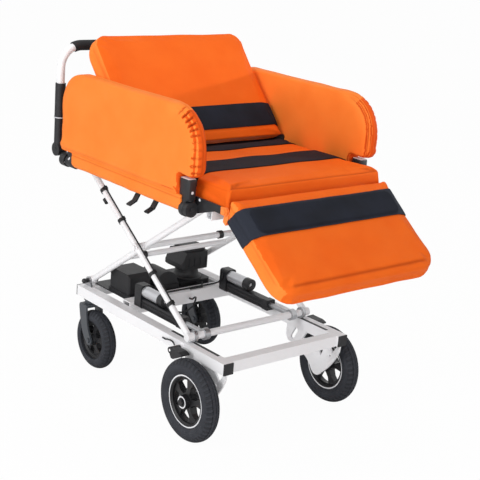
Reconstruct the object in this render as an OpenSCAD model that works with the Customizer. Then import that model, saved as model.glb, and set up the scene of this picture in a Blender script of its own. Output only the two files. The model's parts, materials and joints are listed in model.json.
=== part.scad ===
// Height-adjustable special needs buggy: lifting scissor base, reclining seat, fold-down sides.
// Millimetres. X points to the legrest, Y to the occupant's left, Z up from the floor.
// Pieces are drawn with X = 0 at the front axle and moved once, at the end, to the middle.

/* [Wheels] */
// front tyre diameter
front_d = 254; // [244:1:258]
// front tyre width
front_w = 52; // [44:1:54]
// gap between a rail and the front tyre beside it
wheel_gap = 10.5; // [9:0.5:20]
// caster tyre diameter
caster_d = 200; // [180:1:201]
// caster tyre width
caster_w = 48; // [40:1:50]
// distance between the two casters, centre to centre
caster_track = 446; // [430:1:456]
// front axle to caster axle as it stands in the rest pose
wheelbase = 600; // [590:1:720]
// how far the caster axle stands off its swivel
caster_trail = 45; // [38:1:48]

/* [Base] */
// square tube of the base rails
rail = 35; // [32:1:36]
// distance between the rails, centre to centre
rail_track = 462; // [460:1:466]
// height of the rail centre above the floor
rail_z = 252; // [252:1:256]
// rail front end ahead of the front axle
rail_front = 100; // [92:1:104]
// rail end behind the swivel of the casters
rail_over = 45; // [40:1:52]

/* [Lift] */
// tube diameter of the scissor arms
arm_d = 20; // [17:1:21]
// half the length of a scissor arm, pivot to pivot
arm_half = 353.7; // [350:0.1:356]
// angle of the arms above the floor in the rest pose
arm_angle = 34.5; // [34:0.1:35]
// rear pivot of the arms behind the front axle
pivot_back = 666; // [660:1:668]

/* [Seat] */
// seat cushion length
seat_len = 457; // [440:1:460]
// seat cushion thickness with its crown
seat_thick = 78; // [70:1:80]
// half the width of the seat cushion
seat_half = 302; // [290:1:303]
// backrest cushion length
back_len = 405; // [385:1:409]
// backrest cushion thickness
back_thick = 70; // [62:1:71]
// lean of the backrest from upright in the rest pose
back_lean = 45; // [42:1:46]
// legrest cushion length
leg_len = 302; // [280:1:304]
// legrest cushion thickness
leg_thick = 55; // [48:1:56]
// drop of the legrest below level in the rest pose
leg_drop = 37.5; // [34:0.5:40]
// strap webbing thickness
strap_t = 2.4; // [2:0.1:2.6]

/* [Side panels] */
// height of a side pad above its skirt
pad_h = 255; // [230:1:262]
// thickness of a side pad
pad_t = 54; // [48:1:54]

/* [Push bar] */
// height of the push bar above the floor
push_z = 1076; // [1070:1:1090]
// push bar tube diameter
push_d = 25; // [22:1:25]
// grip diameter
grip_d = 33; // [30:1:34]

/* [Hidden] */
$fn = 36;
// running gap of every moving fit
run = 0.3;
ry = rail_track/2;
front_track = rail_track + rail + 2*wheel_gap + front_w;
rail_rear = max(wheelbase + caster_trail + rail_over, pivot_back + 24);
rail_in = ry - rail/2;
rail_out = ry + rail/2;
rail_top = rail_z + rail/2;
rail_bot = rail_z - rail/2;
wall = 2.5;
// caster stem
stem_d = 12;
// cable diameter
cable_d = 6;
// moulded wheels
web_t = 16;
rim_lip = 9;
spoke_w = 22;
// arms
pz = rail_top + 19.5;
px = -pivot_back;
ca = cos(arm_angle);
sa = sin(arm_angle);
cx = px + arm_half*ca;
cz = pz + arm_half*sa;
top_z = pz + 2*arm_half*sa;
low_x = px + 2*arm_half*ca;
b_in = 194;
b_out = 216;
a_in = 225;
a_out = 247;
eye_d = 26;
// actuators
act_y = 176;
act_x1 = low_x - 102;
// actuator tube, its gear head and the beam behind it
act_len = 210;
act_x0 = act_x1 - act_len;
beam_x1 = act_x0 - 35;
beam_x0 = beam_x1 - 40;
rod_d = 16;
// tray under the power units
tray_t = 4;
// brake shoe pivot behind the front axle
brake_x = -100;
// seat frame
fr = 25;
fr_wall = 2.5;
fr_y = ry;
fr_bot = top_z + 13.4;
fr_top = fr_bot + fr;
deck_t = 6;
seat_z = fr_top + deck_t;
seat_x1 = 122;
seat_x0 = seat_x1 - seat_len;
fr_x0 = px - 24;
fr_x1 = seat_x1 - 26;
// inner face of the side pads
pad_in = seat_half + 6;
// backrest
back_half = pad_in - 12;
back_x = seat_x0 - 3.5;
back_z = seat_z + 77.4;
// face of the backrest in front of its hinge, and its shell behind it
back_face = 32;
back_board = back_face - back_thick;
// legrest
leg_half = pad_in - 5;
leg_x = seat_x1 + 8;
leg_z = seat_z + 9;
// where the legrest cushion starts, its face and its board's top, from the legrest hinge
leg_start = 2;
leg_face = 32;
leg_board = leg_face - leg_thick;
// release lever under the right side
lever_x0 = back_x - 22;
lever_x1 = lever_x0 + 138;
lever_y = -fr_y - 29;
lever_z = fr_bot - 12;
// side panels
pad_out = pad_in + pad_t;
// faces of the front and rear knuckles of the seat
front_k = seat_x1 - 75.5;
rear_k = px + 24.5;
knuckle_l = 13.5;
pad_x0 = rear_k - 10.5;
pad_x1 = front_k - 16.5;
hinge_y = pad_in + 29;
hinge_z = fr_bot + 18;
skirt_h = 38;
pad_z = hinge_z + 24.6;
knuckle = 44;
// pin of the side and push bar knuckles
pin_d = 10;
// push bar
push_x = fr_x0;
push_y = hinge_y + 3;
push_pz = hinge_z + 25;
push_bend = 70;
// how far the grip follows each bend
grip_turn = 23;
// middle of the whole, to bring the origin under it
x_rear = push_x - knuckle/2;
leg_prof = boxed(leg_thick, 6, 120);
x_front = leg_x + max([for (p = leg_prof)
  (leg_start + leg_len - p[0])*cos(leg_drop) + (leg_board + p[1])*sin(leg_drop)]);
x_mid = (x_front + x_rear)/2;

// Plain helpers

module box(x0, x1, y0, y1, z0, z1) translate([x0, y0, z0]) cube([x1 - x0, y1 - y0, z1 - z0]);

module cyl_x(y, z, x0, x1, d) translate([x0, y, z]) rotate([0, 90, 0]) cylinder(d = d, h = x1 - x0);

module cyl_y(x, z, y0, y1, d) translate([x, y0, z]) rotate([-90, 0, 0]) cylinder(d = d, h = y1 - y0);

module cyl_z(x, y, z0, z1, d) translate([x, y, z0]) cylinder(d = d, h = z1 - z0);

module plate(y0, y1) translate([0, y1, 0]) rotate([90, 0, 0]) linear_extrude(y1 - y0) children();

module along_x(x0, x1) translate([x0, 0, 0]) rotate([90, 0, 90]) linear_extrude(x1 - x0) children();

module rounded(x0, x1, y0, y1, r) {
  translate([x0 + r, y0]) square([x1 - x0 - 2*r, y1 - y0]);
  translate([x0, y0 + r]) square([x1 - x0, y1 - y0 - 2*r]);
  for (x = [x0 + r, x1 - r], y = [y0 + r, y1 - r]) translate([x, y]) circle(r = r);
}

module tub(x0, x1, y0, y1, z0, z1, r) translate([0, 0, z0]) linear_extrude(z1 - z0) rounded(x0, x1, y0, y1, r);

module right() mirror([0, 1, 0]) children();

module both() {
  children();
  mirror([0, 1, 0]) children();
}

// A cable is one tube swept along its points, with a ring square to the run at each of them
function unit(v) = v/norm(v);

function heading(p, i) = let (last = len(p) - 1)
  unit((i > 0 ? unit(p[i] - p[i - 1]) : [0, 0, 0]) + (i < last ? unit(p[i + 1] - p[i]) : [0, 0, 0]));

function carried(p, i, u) = i == len(p) ? [] : let (t = heading(p, i), w = unit(u - (u*t)*t))
  concat([w], carried(p, i + 1, w));

module cable(p, d, n = 8) {
  m = len(p);
  t0 = heading(p, 0);
  us = carried(p, 0, cross(t0, abs(t0[2]) > 0.9 ? [1, 0, 0] : [0, 0, 1]));
  pts = [for (i = [0:m - 1]) let (t = heading(p, i), v = cross(t, us[i])) for (k = [0:n - 1])
    p[i] + d/2*(us[i]*cos(360*k/n) + v*sin(360*k/n))];
  s1 = [for (i = [0:m - 2]) for (k = [0:n - 1]) [i*n + k, i*n + n + (k + 1)%n, i*n + (k + 1)%n]];
  s2 = [for (i = [0:m - 2]) for (k = [0:n - 1]) [i*n + k, i*n + n + k, i*n + n + (k + 1)%n]];
  low = [for (k = [1:n - 2]) [0, k, k + 1]];
  top = [for (k = [1:n - 2]) [m*n - n, m*n - n + k + 1, m*n - n + k]];
  polyhedron(points = pts, faces = concat(low, s1, s2, top));
}

// A bowed edge from a to c, pulled towards b
function bow(a, b, c, n = 8) = [for (i = [0:n]) let (t = i/n) a*(1 - t)*(1 - t) + b*2*t*(1 - t) + c*t*t];

// Soft forms: rings of a rounded outline, each drawn in by its own amount

function arc_pts(x, y, r, a, n) = [for (i = [0:n]) [x + r*cos(a + 90*i/n), y + r*sin(a + 90*i/n)]];

function outline(a, b, r, i, n) = let (q = [for (k = r) max(k - i, 3)]) concat(
  arc_pts(a - i - q[0], b - i - q[0], q[0], 0, n),
  arc_pts(i - a + q[1], b - i - q[1], q[1], 90, n),
  arc_pts(i - a + q[2], i - b + q[2], q[2], 180, n),
  arc_pts(a - i - q[3], i - b + q[3], q[3], 270, n));

module cushion(a, b, r, prof, n = 6) {
  m = 4*(n + 1);
  k = len(prof);
  pts = concat([for (p = prof) for (q = outline(a, b, r, p[0], n)) [q[0], q[1], p[1]]],
    [[0, 0, prof[0][1]], [0, 0, prof[k - 1][1]]]);
  low = [for (i = [0:m - 1]) [i, (i + 1)%m, m*k]];
  top = [for (i = [0:m - 1]) [m*(k - 1) + (i + 1)%m, m*(k - 1) + i, m*k + 1]];
  s1 = [for (j = [0:k - 2]) for (i = [0:m - 1]) [j*m + i, j*m + m + i, j*m + m + (i + 1)%m]];
  s2 = [for (j = [0:k - 2]) for (i = [0:m - 1]) [j*m + i, j*m + m + (i + 1)%m, j*m + (i + 1)%m]];
  polyhedron(points = pts, faces = concat(low, top, s1, s2));
}

// A boxed cushion: flat below, drawn-in sides, a seam line round the top and a crowned face
function boxed(t, crown, lim) = [[9, 0], [3, t*0.06], [0.4, t*0.24], [0, t*0.45], [1.2, t*0.62],
  [4, t*0.76], [9, t - crown - 5], [16, t - crown - 1.5], [22, t - crown - 2.2], [34, t - crown*0.6],
  [lim*0.6, t - crown*0.22], [lim, t]];

// A pad with two crowned faces
function faced(t, c, lim) = [[lim, -t/2], [lim*0.45, -t/2 + c*0.4], [22, -t/2 + c], [8, -t/2 + c + 7],
  [2, -t*0.22], [0, 0], [2, t*0.22], [8, t/2 - c - 7], [22, t/2 - c], [lim*0.45, t/2 - c*0.4], [lim, t/2]];

// A band that follows a cushion over its top and down both sides
function side_pts(prof, b, far) = [for (p = prof) if (p[1] > 4 && p[0] <= far) [b - p[0], p[1]]];

function away(p, g) = [for (i = [0:len(p) - 1])
  let (u = p[max(i - 1, 0)], v = p[min(i + 1, len(p) - 1)], d = norm(v - u))
  p[i] + g*[v[1] - u[1], u[0] - v[0]]/d];

module band(prof, b, far, x0, x1, g, t) {
  p = side_pts(prof, b, far);
  lo = away(p, g);
  hi = away(p, g + t);
  m = len(p);
  lo_l = [for (i = [m - 1:-1:0]) [-lo[i][0], lo[i][1]]];
  hi_l = [for (i = [0:m - 1]) [-hi[i][0], hi[i][1]]];
  hi_r = [for (i = [m - 1:-1:0]) hi[i]];
  translate([x0, 0, 0]) rotate([90, 0, 90]) linear_extrude(x1 - x0)
    polygon(concat(lo, lo_l, hi_l, hi_r));
}

// Base frame

module side_rail_left() color("white") difference() {
  box(-rail_rear, rail_front, rail_in, rail_out, rail_bot, rail_top);
  box(-rail_rear - 1, rail_front + 1, rail_in + wall, rail_out - wall, rail_bot + wall, rail_top - wall);
}

module side_rail_right() right() side_rail_left();

module cross(x0, x1) difference() {
  box(x0, x1, -rail_in, rail_in, rail_bot, rail_top);
  box(x0 + wall, x1 - wall, -rail_in - 1, rail_in + 1, rail_bot + wall, rail_top - wall);
}

module front_cross_tube() color("white") cross(rail_front - rail - 6, rail_front - 6);

module rear_cross_tube() color("white") cross(8 - rail_rear, 8 + rail - rail_rear);

module actuator_beam() color("white") difference() {
  box(beam_x0, beam_x1, -rail_in, rail_in, rail_bot + 6, rail_top + 14);
  box(beam_x0 + 3, beam_x1 - 3, -rail_in - 1, rail_in + 1, rail_bot + 9, rail_top + 11);
}

module rail_trim() color("black") both() {
  for (x = [-rail_rear, rail_front]) {
    e = x > 0 ? 1 : -1;
    box(min(x, x + 4*e), max(x, x + 4*e), rail_in, rail_out, rail_bot, rail_top);
    box(min(x, x - 15*e), max(x, x - 15*e), rail_in + wall, rail_out - wall, rail_bot + wall, rail_top - wall);
  }
  box(low_x - 107, min(low_x + 123, rail_front - 60), ry - 16, ry - 7, rail_top, rail_top + 1);
  cyl_y(px, pz, 223.5, 238, 15);
  translate([px, 238, pz]) sphere(d = 17);
}

module bracket_cut() translate([0, rail_bot]) {
  for (p = [[-122, -44], [-107, -17]]) translate(p) circle(d = 15);
  translate([-114.5, -30.5]) rotate(61) square([31, 15], center = true);
  polygon([[-76, -36], [-58, -8], [-12, -8]]);
  polygon([[-8, -30], [28, -30], [16, -62]]);
  polygon([[44, -8], [84, -8], [66, -36]]);
  translate([57, -49]) circle(d = 8);
}

module wheel_brackets() color("white") both() {
  z0 = front_d/2;
  plate(ry - 3, ry + 3) difference() {
    union() {
      polygon(concat([[-152, rail_bot], [97, rail_bot]], bow([94, rail_bot - 24], [72, z0 + 30], [26, z0 - 10]),
        bow([-22, z0 - 14], [-50, z0 + 34], [-142, rail_bot - 62]), [[-154, rail_bot - 44]]));
      translate([0, z0]) circle(r = 26);
    }
    bracket_cut();
  }
  cyl_y(0, z0, ry + 3, front_track/2 - 31, 24);
  cyl_y(0, z0, ry, front_track/2 + 31, 12);
  cyl_y(0, z0, front_track/2 + 31, front_track/2 + 37, 19);
  box(brake_x - 8, brake_x + 8, rail_out, rail_out + 8, rail_bot + 8, rail_bot + 28);
  cyl_y(brake_x, rail_bot + 18, rail_out + 7, front_track/2 + 9.5, 8);
}

module pivot_brackets() color("silver") both() {
  plate(217.5, 223.5) {
    polygon([[px - 22, rail_top], [px + 22, rail_top], [px + 13, pz], [px - 13, pz]]);
    translate([px, pz]) circle(d = eye_d);
  }
  cyl_y(px, pz, b_in - 6, 218, 10);
  cyl_y(px, pz, b_in - 7, b_in - 0.5, 17);
}

module caster_heads() color("dimgray") both() {
  x = -wheelbase - caster_trail;
  y = caster_track/2;
  difference() {
    union() {
      cyl_z(x, y, rail_bot - 6, rail_bot, 46);
      cyl_z(x, y, rail_bot - 17.5, rail_bot - 6, 38);
    }
    cyl_z(x, y, rail_bot - 18, rail_bot - 4, stem_d + 2*run);
  }
}

// Actuators and power

module actuator_left() color("black") difference() {
  gx = act_x0;
  union() {
    along_x(gx - 1, act_x1) rounded(act_y - 17, act_y + 17, pz - 17, pz + 15, 5);
    along_x(beam_x1, gx) rounded(act_y - 21, act_y + 21, pz - 19, pz + 58, 9);
    along_x(act_x1 - 22, act_x1) rounded(act_y - 19, act_y + 19, pz - 18.5, pz + 17, 6);
  }
  cyl_x(act_y, pz, gx + 15, act_x1 + 1, rod_d + 2);
  for (e = [-1, 1], z = [pz - 9, pz + 3])
    box(gx + 10, act_x1 - 26, act_y + 17*e - 2, act_y + 17*e + 2, z, z + 5);
}

module actuator_right() right() actuator_left();

module motors() color("silver") both() {
  gx = act_x0;
  difference() {
    union() {
      cyl_x(act_y, pz + 36, gx, gx + 83, 38);
      cyl_x(act_y, pz + 36, gx + 82, gx + 107, 41);
    }
    cyl_x(act_y, pz + 36, gx + 101, gx + 108, 15);
  }
}

module power_tray() color("black") tub(10 - rail_rear, beam_x0, -188, 188, rail_top, rail_top + tray_t, 6);

// The power units stand on the tray and are placed from the beam
module on_tray() translate([beam_x0, 0, rail_top + tray_t]) children();

module control_box() color("black") on_tray() {
  tub(-130, -2, -187, -93, 0, 12, 8);
  tub(-126, -10, -184, -96, 12, 62, 9);
  difference() {
    tub(-128, -8, -186, -94, 62, 82, 9);
    translate([-8, -140, 82]) rotate([0, 45, 0]) cube([16, 100, 16], center = true);
    translate([-128, -140, 82]) rotate([0, 45, 0]) cube([12, 100, 12], center = true);
  }
}

module power_housing() color("black") on_tray() {
  tub(-115, -8, -84, 22, 0, 26, 8);
  translate([0, 0, 26]) along_x(-110, -12) difference() {
    translate([-31, 0]) circle(r = 46);
    translate([-90, -60]) square([120, 60]);
  }
}

module battery_dock() color("black") on_tray() {
  tub(-138, -30, 40, 172, 0, 16, 14);
  translate([-84, 106, 15]) rotate_extrude($fn = 48) polygon(concat([[0, 0], [53, 0], [53, 5]],
    bow([50, 9], [38, 14], [40, 39], 5), [[0, 39]]));
}

module battery_pack() color("black") on_tray() translate([0, 0, 54]) {
  difference() {
    along_x(-132, -34)
      polygon([[58, 0], [158, 0], [162, 6], [162, 58], [158, 62], [66, 62], [48, 22], [48, 8]]);
    for (i = [0:3]) box(-35.5, -33, 66 + i*24, 78 + i*24, 10, 42);
    for (y = [48, 162]) translate([-34, y, -1]) rotate(45) cube([10, 10, 160], center = true);
  }
  tub(-126, -40, 72, 154, 62, 76, 14);
}

module harness() color("black") {
  y = act_y - 21;
  g = cable_d/2 + 0.2;
  beam_top = rail_top + 14;
  lie = beam_top + g;
  z = rail_top + tray_t;
  translate([beam_x0, 0, 0]) {
    cable([[-7.5, -140, z + 34], [8, -140, z + 34], [20, -130, lie], [20, 60, lie], [20, 150, lie],
      [42, y - 4, lie + 12], [58, y - g, pz + 30], [58, y - g, pz + 44]], cable_d);
    cable([[-7.5, -60, z + 20], [8, -60, z + 24], [30, -76, lie], [30, -146, lie],
      [42, 4 - y, lie + 12], [58, g - y, pz + 30], [58, g - y, pz + 44]], cable_d);
    cable([[-29.5, 110, z + 9], [-10, 110, z + 9], [8, 104, lie + 8], [29, 90, lie], [29, 40, lie]], cable_d);
    cable(concat([[40.2, 30, rail_z + 6]],
      bow([56, 30, rail_z + 8], [96, 24, rail_z + 44], [112, -10, rail_z + 8], 8),
      bow([110, -26, rail_z - 2], [96, -60, rail_z - 26], [56, -64, rail_z + 2], 6),
      [[40.2, -64, rail_z + 4]]), cable_d);
  }
  both() cable(concat([[brake_x - 96, rail_out + 2.6, rail_z]], bow([brake_x - 80, rail_out + 3, rail_z],
    [brake_x - 40, rail_out + 6, rail_z + 14], [brake_x - 17, rail_out + 16, rail_z + 6], 6)), 5);
}

// Wheels

module tyre_ring(d, w, bead) rotate([90, 0, 0]) rotate_extrude($fn = 64) difference() {
  r = d/2 - w/2;
  union() {
    translate([r, 0]) circle(d = w, $fn = 40);
    translate([bead, -w*0.36]) square([r - bead, w*0.72]);
  }
  translate([0, -w]) square([bead, 2*w]);
  for (e = [-1, 0, 1]) translate([d/2 - 1.6 - abs(e)*2.4, e*w*0.2 - 1.2]) square([8, 2.4]);
}

module front_at() translate([0, front_track/2, front_d/2]) children();

module tyre_left() color("black") front_at() tyre_ring(front_d, front_w, front_d*0.32);

module tyre_right() right() tyre_left();

// A moulded wheel: hub, web and rim are one turned shape, and the web is cut to n spokes
module spoke_wheel(rr, rw, hub, hub_w, bore, n) difference() {
  r_in = rr - rim_lip - 4;
  rotate([90, 0, 0]) rotate_extrude($fn = 64) polygon([
    [bore/2, -hub_w/2], [hub/2, -hub_w/2], [hub/2 + 2, -web_t*0.8], [r_in, -web_t/2],
    [r_in, 5 - rw/2], [rr - rim_lip, -rw/2], [rr, -rw/2], [rr, rw/2], [rr - rim_lip, rw/2],
    [r_in, rw/2 - 5], [r_in, web_t/2], [hub/2 + 2, web_t*0.8], [hub/2, hub_w/2], [bore/2, hub_w/2]]);
  rotate([90, 0, 0]) linear_extrude(2*web_t, center = true) difference() {
    circle(r = r_in - 4);
    circle(r = hub/2 + 5);
    for (i = [0:n - 1]) rotate(360/n*i + 11) polygon([
      [0, -spoke_w*0.5], [r_in*0.62, -spoke_w*0.36], [r_in, -spoke_w*0.8], [r_in, spoke_w*0.8],
      [r_in*0.62, spoke_w*0.36], [0, spoke_w*0.5]]);
  }
}

module rim_left() color("black") front_at() spoke_wheel(front_d*0.32, front_w*0.66, 40, 60, 12 + 2*run, 5);

module rim_right() right() rim_left();

module caster_at() translate([-wheelbase, caster_track/2, caster_d/2]) children();

module caster_tyre_left() color("black") caster_at() tyre_ring(caster_d, caster_w, caster_d*0.33);

module caster_tyre_right() right() caster_tyre_left();

module caster_rim_left() color("black") caster_at()
  spoke_wheel(caster_d*0.33, caster_w*0.62, 34, 44, 10 + 2*run, 5);

module caster_rim_right() right() caster_rim_left();

module caster_fork_left() color("dimgray") {
  x = -wheelbase - caster_trail;
  y = caster_track/2;
  z1 = rail_bot - 17.5 - run;
  z0 = z1 - 9;
  za = caster_d/2;
  g = caster_w/2 + 3;
  cyl_z(x, y, z0, z1, 44);
  cyl_z(x, y, z1, rail_bot - 5, stem_d);
  translate([0, y, z0]) linear_extrude(9) rounded(x - 18, x + 26, -g - 6, g + 6, 6);
  translate([0, y, 0]) both() plate(g, g + 6) {
    polygon(concat([[x - 16, z1 - 1], [x + 22, z1 - 1]],
      bow([x + 26, z1 - 8], [x + 28, za + 42], [13 - wheelbase, za + 9]),
      bow([-wheelbase - 14, za - 7], [x - 2, za + 14], [x - 18, z1 - 8])));
    translate([-wheelbase, za]) circle(r = 16);
  }
  cyl_y(-wheelbase, za, y - g - 10, y + g + 10, 10);
  cyl_y(-wheelbase, za, y - g - 11, y - g - 5, 17);
  cyl_y(-wheelbase, za, y + g + 5, y + g + 11, 17);
}

module caster_fork_right() right() caster_fork_left();

module brake_shoe_left() color("black") difference() {
  z = rail_bot + 18;
  union() {
    cyl_y(brake_x, z, rail_out + 10, front_track/2 + 9.5, 20);
    plate(front_track/2 - 20, front_track/2 + 10) polygon([
      [brake_x, z - 9], [brake_x + 8, z - 22], [brake_x + 60, z - 22], [brake_x + 60, z + 4],
      [brake_x + 44, z + 9], [brake_x, z + 9]]);
  }
  cyl_y(brake_x, z, rail_out, front_track/2 + 24, 8 + 2*run);
  cyl_y(0, front_d/2, front_track/2 - 40, front_track/2 + 40, front_d + 9, $fn = 72);
}

module brake_shoe_right() right() brake_shoe_left();

// Scissor arms

module at_b() translate([px, 0, pz]) rotate([0, -arm_angle, 0]) children();

module at_a() translate([cx, 0, cz]) rotate([0, arm_angle, 0]) children();

module arm_b_left() color("white") at_b() {
  yb = (b_in + b_out)/2;
  difference() {
    union() {
      cyl_x(yb, 0, 0, 2*arm_half, arm_d);
      for (x = [0, arm_half, 2*arm_half]) cyl_y(x, 0, b_in, b_out, eye_d);
    }
    cyl_y(0, 0, b_in - 1, b_out + 1, 10 + 2*run);
  }
  cyl_y(arm_half, 0, b_out, a_in - run, 20);
  cyl_y(arm_half, 0, b_out, a_out + 1, 10);
  cyl_y(arm_half, 0, a_out + run, a_out + 6, 18);
  cyl_y(2*arm_half, 0, b_out, 229, 8);
}

module arm_b_right() right() arm_b_left();

module arm_b_tubes() color("white") at_b() {
  yb = (b_in + b_out)/2;
  low = 0.687*arm_half;
  for (x = [arm_half, 2*arm_half]) difference() {
    cyl_y(x, 0, -b_in, b_in, 20);
    cyl_y(x, 0, -b_in - 1, b_in + 1, 15);
  }
  difference() {
    cyl_y(low, 0, -yb, yb, 18);
    cyl_y(low, 0, -yb - 1, yb + 1, 13);
    for (e = [-1, 1]) cyl_x(e*yb, 0, low - 45, low + 45, arm_d + 0.1);
  }
}

// The upper rollers, and the cable clips on the two lower cross tubes
module slide_rollers() color("black") at_b() {
  both() difference() {
    cyl_y(2*arm_half, 0, 219, 228.6, 24);
    cyl_y(2*arm_half, 0, 218, 230, 8.1);
  }
  for (c = [[arm_half, 88, 20], [0.687*arm_half, -150, 18]]) difference() {
    cyl_y(c[0], 0, c[1], c[1] + 15, c[2] + 7);
    cyl_y(c[0], 0, c[1] - 1, c[1] + 16, c[2] + 0.1);
  }
}

module arm_a_left() color("white") at_a() difference() {
  ya = (a_in + a_out)/2;
  union() {
    cyl_x(ya, 0, -arm_half, arm_half, arm_d);
    for (x = [-arm_half, 0, arm_half]) cyl_y(x, 0, a_in, a_out, eye_d);
  }
  cyl_y(-arm_half, 0, a_in - 1, a_out + 1, 10 + 2*run);
  cyl_y(0, 0, a_in - 1, a_out + 1, 10 + 2*run);
}

module arm_a_right() right() arm_a_left();

module crossbar() color("white") difference() {
  cyl_y(low_x, pz, -a_in, a_in, 22);
  cyl_y(low_x, pz, -a_in - 1, a_in + 1, 17);
}

module track_rollers() color("silver") both() difference() {
  cyl_y(low_x, pz, 214.5, 224.8, 36);
  cyl_y(low_x, pz, 213, 226, 22.1);
}

module arm_cable() color("black") at_a() {
  y = -(a_in + a_out)/2;
  z = arm_d/2 + 3.1;
  cable([[-250, y, z], [-90, y, z], [-30, y - 2, z + 3], [30, y - 2, z + 3], [90, y, z], [240, y, z]], 5);
  for (x = [-240, -110, 110, 230]) difference() {
    cyl_x(y, 0, x - 6, x + 6, arm_d + 5);
    cyl_x(y, 0, x - 7, x + 7, arm_d + 0.1);
  }
  for (x = [-240, -110, 110, 230]) box(x - 6, x + 6, y - 5, y + 5, arm_d/2 + 0.6, arm_d/2 + 7);
  translate([-212, 0, 0]) cyl_x(y, -arm_d/2 - 9, -8, 8, 16);
  translate([-212, 0, 0]) box(-5, 5, y - 4, y + 4, -arm_d/2 - 6, -arm_d/2 - 0.2);
}

module actuator_rod_left() color("silver") difference() {
  union() {
    cyl_x(act_y, pz, low_x - 200, low_x - 10, rod_d);
    cyl_y(low_x, pz, act_y - 9, act_y + 9, 36);
  }
  cyl_y(low_x, pz, act_y - 10, act_y + 10, 22 + 2*run);
}

module actuator_rod_right() right() actuator_rod_left();

// Seat

module seat_tubes(w, over) both() {
  z0 = fr_bot + w;
  z1 = fr_top - w;
  box(fr_x0 - over, fr_x1 + over, fr_y - fr/2 + w, fr_y + fr/2 - w, z0, z1);
  for (t = [[seat_x1 - 72, pad_in + 4], [back_x - 13.5, pad_in - 1], [fr_x0, hinge_y - 15]])
    box(t[0] + w, t[0] + fr - w, fr_y, t[1] + over, z0, z1);
  for (x = [fr_x0, back_x - 13.5, fr_x1 - fr]) box(x + w, x + fr - w, 0, fr_y, z0, z1);
}

module seat_frame() color("white") {
  difference() {
    seat_tubes(0, 0);
    seat_tubes(fr_wall, 1);
  }
  both() {
    difference() {
      plate(fr_y - fr/2, fr_y - fr/2 + 6) {
        polygon([[px - 24, fr_bot + 2], [px + 24, fr_bot + 2], [px + 12, top_z], [px - 12, top_z]]);
        translate([px, top_z]) circle(r = 12);
      }
      box(px - 40, px + 40, fr_y - fr, fr_y + fr, fr_bot + 2, fr_top);
    }
    cyl_y(px, top_z, fr_y - fr/2, a_out + 1, 10);
    cyl_y(px, top_z, a_out + run, a_out + 6, 18);
  }
  difference() {
    for (x = [lever_x0, lever_x1]) box(x - 3, x + 3, lever_y - 12, -fr_y - fr/2, lever_z - 10, fr_bot + 12);
    cyl_x(lever_y, lever_z, lever_x0 - 5, lever_x1 + 5, 12 + 2*run);
  }
}

module hinge_plates() color("black") both() {
  // front plate that carries the legrest pin and the front knuckle
  plate(pad_in + 4, pad_in + 8.5) {
    polygon(concat([[front_k + 0.5, hinge_z - 14], [front_k + 45, fr_bot]],
      [[leg_x + 6, leg_z - 10], [leg_x - 4, leg_z + 11]],
      bow([front_k + 40, leg_z + 4], [front_k + 24, leg_z - 8], [front_k + 16, hinge_z + 18], 5),
      [[front_k + 0.5, hinge_z + 14]]));
    translate([leg_x, leg_z]) circle(r = 12);
  }
  cyl_y(leg_x, leg_z, pad_in - 2.6, pad_in + 11, 8);
  cyl_y(leg_x, leg_z, pad_in + 8.5, pad_in + 12, 16);
  box(front_k, front_k + knuckle_l, pad_in + 8, hinge_y, hinge_z - 12, hinge_z + 12);
  cyl_x(hinge_y, hinge_z, front_k, front_k + knuckle_l, knuckle);
  cyl_x(hinge_y, hinge_z, front_k + knuckle_l, front_k + knuckle_l + 3, 14);
  cyl_x(hinge_y, hinge_z, front_k - 12.5, front_k + 0.5, pin_d);
  // rear knuckle
  box(rear_k - knuckle_l, rear_k, fr_y + fr/2, hinge_y, hinge_z - 12, hinge_z + 7);
  cyl_x(hinge_y, hinge_z, rear_k - knuckle_l, rear_k, knuckle);
  cyl_x(hinge_y, hinge_z, rear_k - 0.5, rear_k + 11.5, pin_d);
  // backrest plate
  plate(pad_in - 5, pad_in - 1) {
    polygon([[back_x - 13, fr_top], [back_x + 11, fr_top], [back_x + 8, back_z], [back_x - 9, back_z]]);
    translate([back_x, back_z]) circle(r = 9);
  }
  cyl_y(back_x, back_z, back_half + 1.5, pad_in - 4.5, 8);
  // push bar plate
  plate(hinge_y - 15, hinge_y - 9.5) {
    polygon([[push_x - 4, fr_bot], [push_x + fr, fr_bot], [push_x + 20, push_pz], [push_x - 20, push_pz]]);
    translate([push_x, push_pz]) circle(d = knuckle - 4);
  }
  cyl_y(push_x, push_pz, hinge_y - 10, push_y + 13, 10);
}

module seat_deck() color("black")
  box(seat_x0 + 2, seat_x1 - 20, 4 - seat_half, seat_half - 4, fr_top, fr_top + deck_t);

seat_prof = boxed(seat_thick, 9, 140);

module seat_cushion() color("orangered") translate([(seat_x0 + seat_x1)/2, 0, seat_z])
  cushion(seat_len/2, seat_half, [26, 26, 26, 26], seat_prof);

module seat_straps() color("black") translate([0, 0, seat_z]) {
  band(seat_prof, seat_half, 140, seat_x0 + seat_len*0.057, seat_x0 + seat_len*0.208, 0.4, strap_t);
  band(seat_prof, seat_half, 140, seat_x0 + seat_len*0.44, seat_x0 + seat_len*0.68, 0.4, strap_t);
}

module release_lever() color("black") {
  cyl_x(lever_y, lever_z, lever_x0 - 7, lever_x1 + 7, 12);
  for (x = [lever_x0 + 12, lever_x1 - 32]) translate([x, lever_y, lever_z]) {
    rotate([-30, 0, 0]) box(0, 20, -3, 3, -44, -4);
    rotate([-30, 0, 0]) translate([0, 0, -42]) rotate([-34, 0, 0]) box(0, 20, -2.5, 2.5, -26, 0);
  }
}

// Backrest, drawn flat with X up the back and Z out of its face

module at_back() translate([back_x, 0, back_z]) rotate([0, 90 - back_lean, 0]) rotate([0, 0, 180]) children();

back_prof = boxed(back_thick, 8, 130);

module back_cushion() color("orangered") at_back() translate([back_len/2, 0, back_board])
  cushion(back_len/2, back_half, [32, 20, 20, 32], back_prof);

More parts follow.
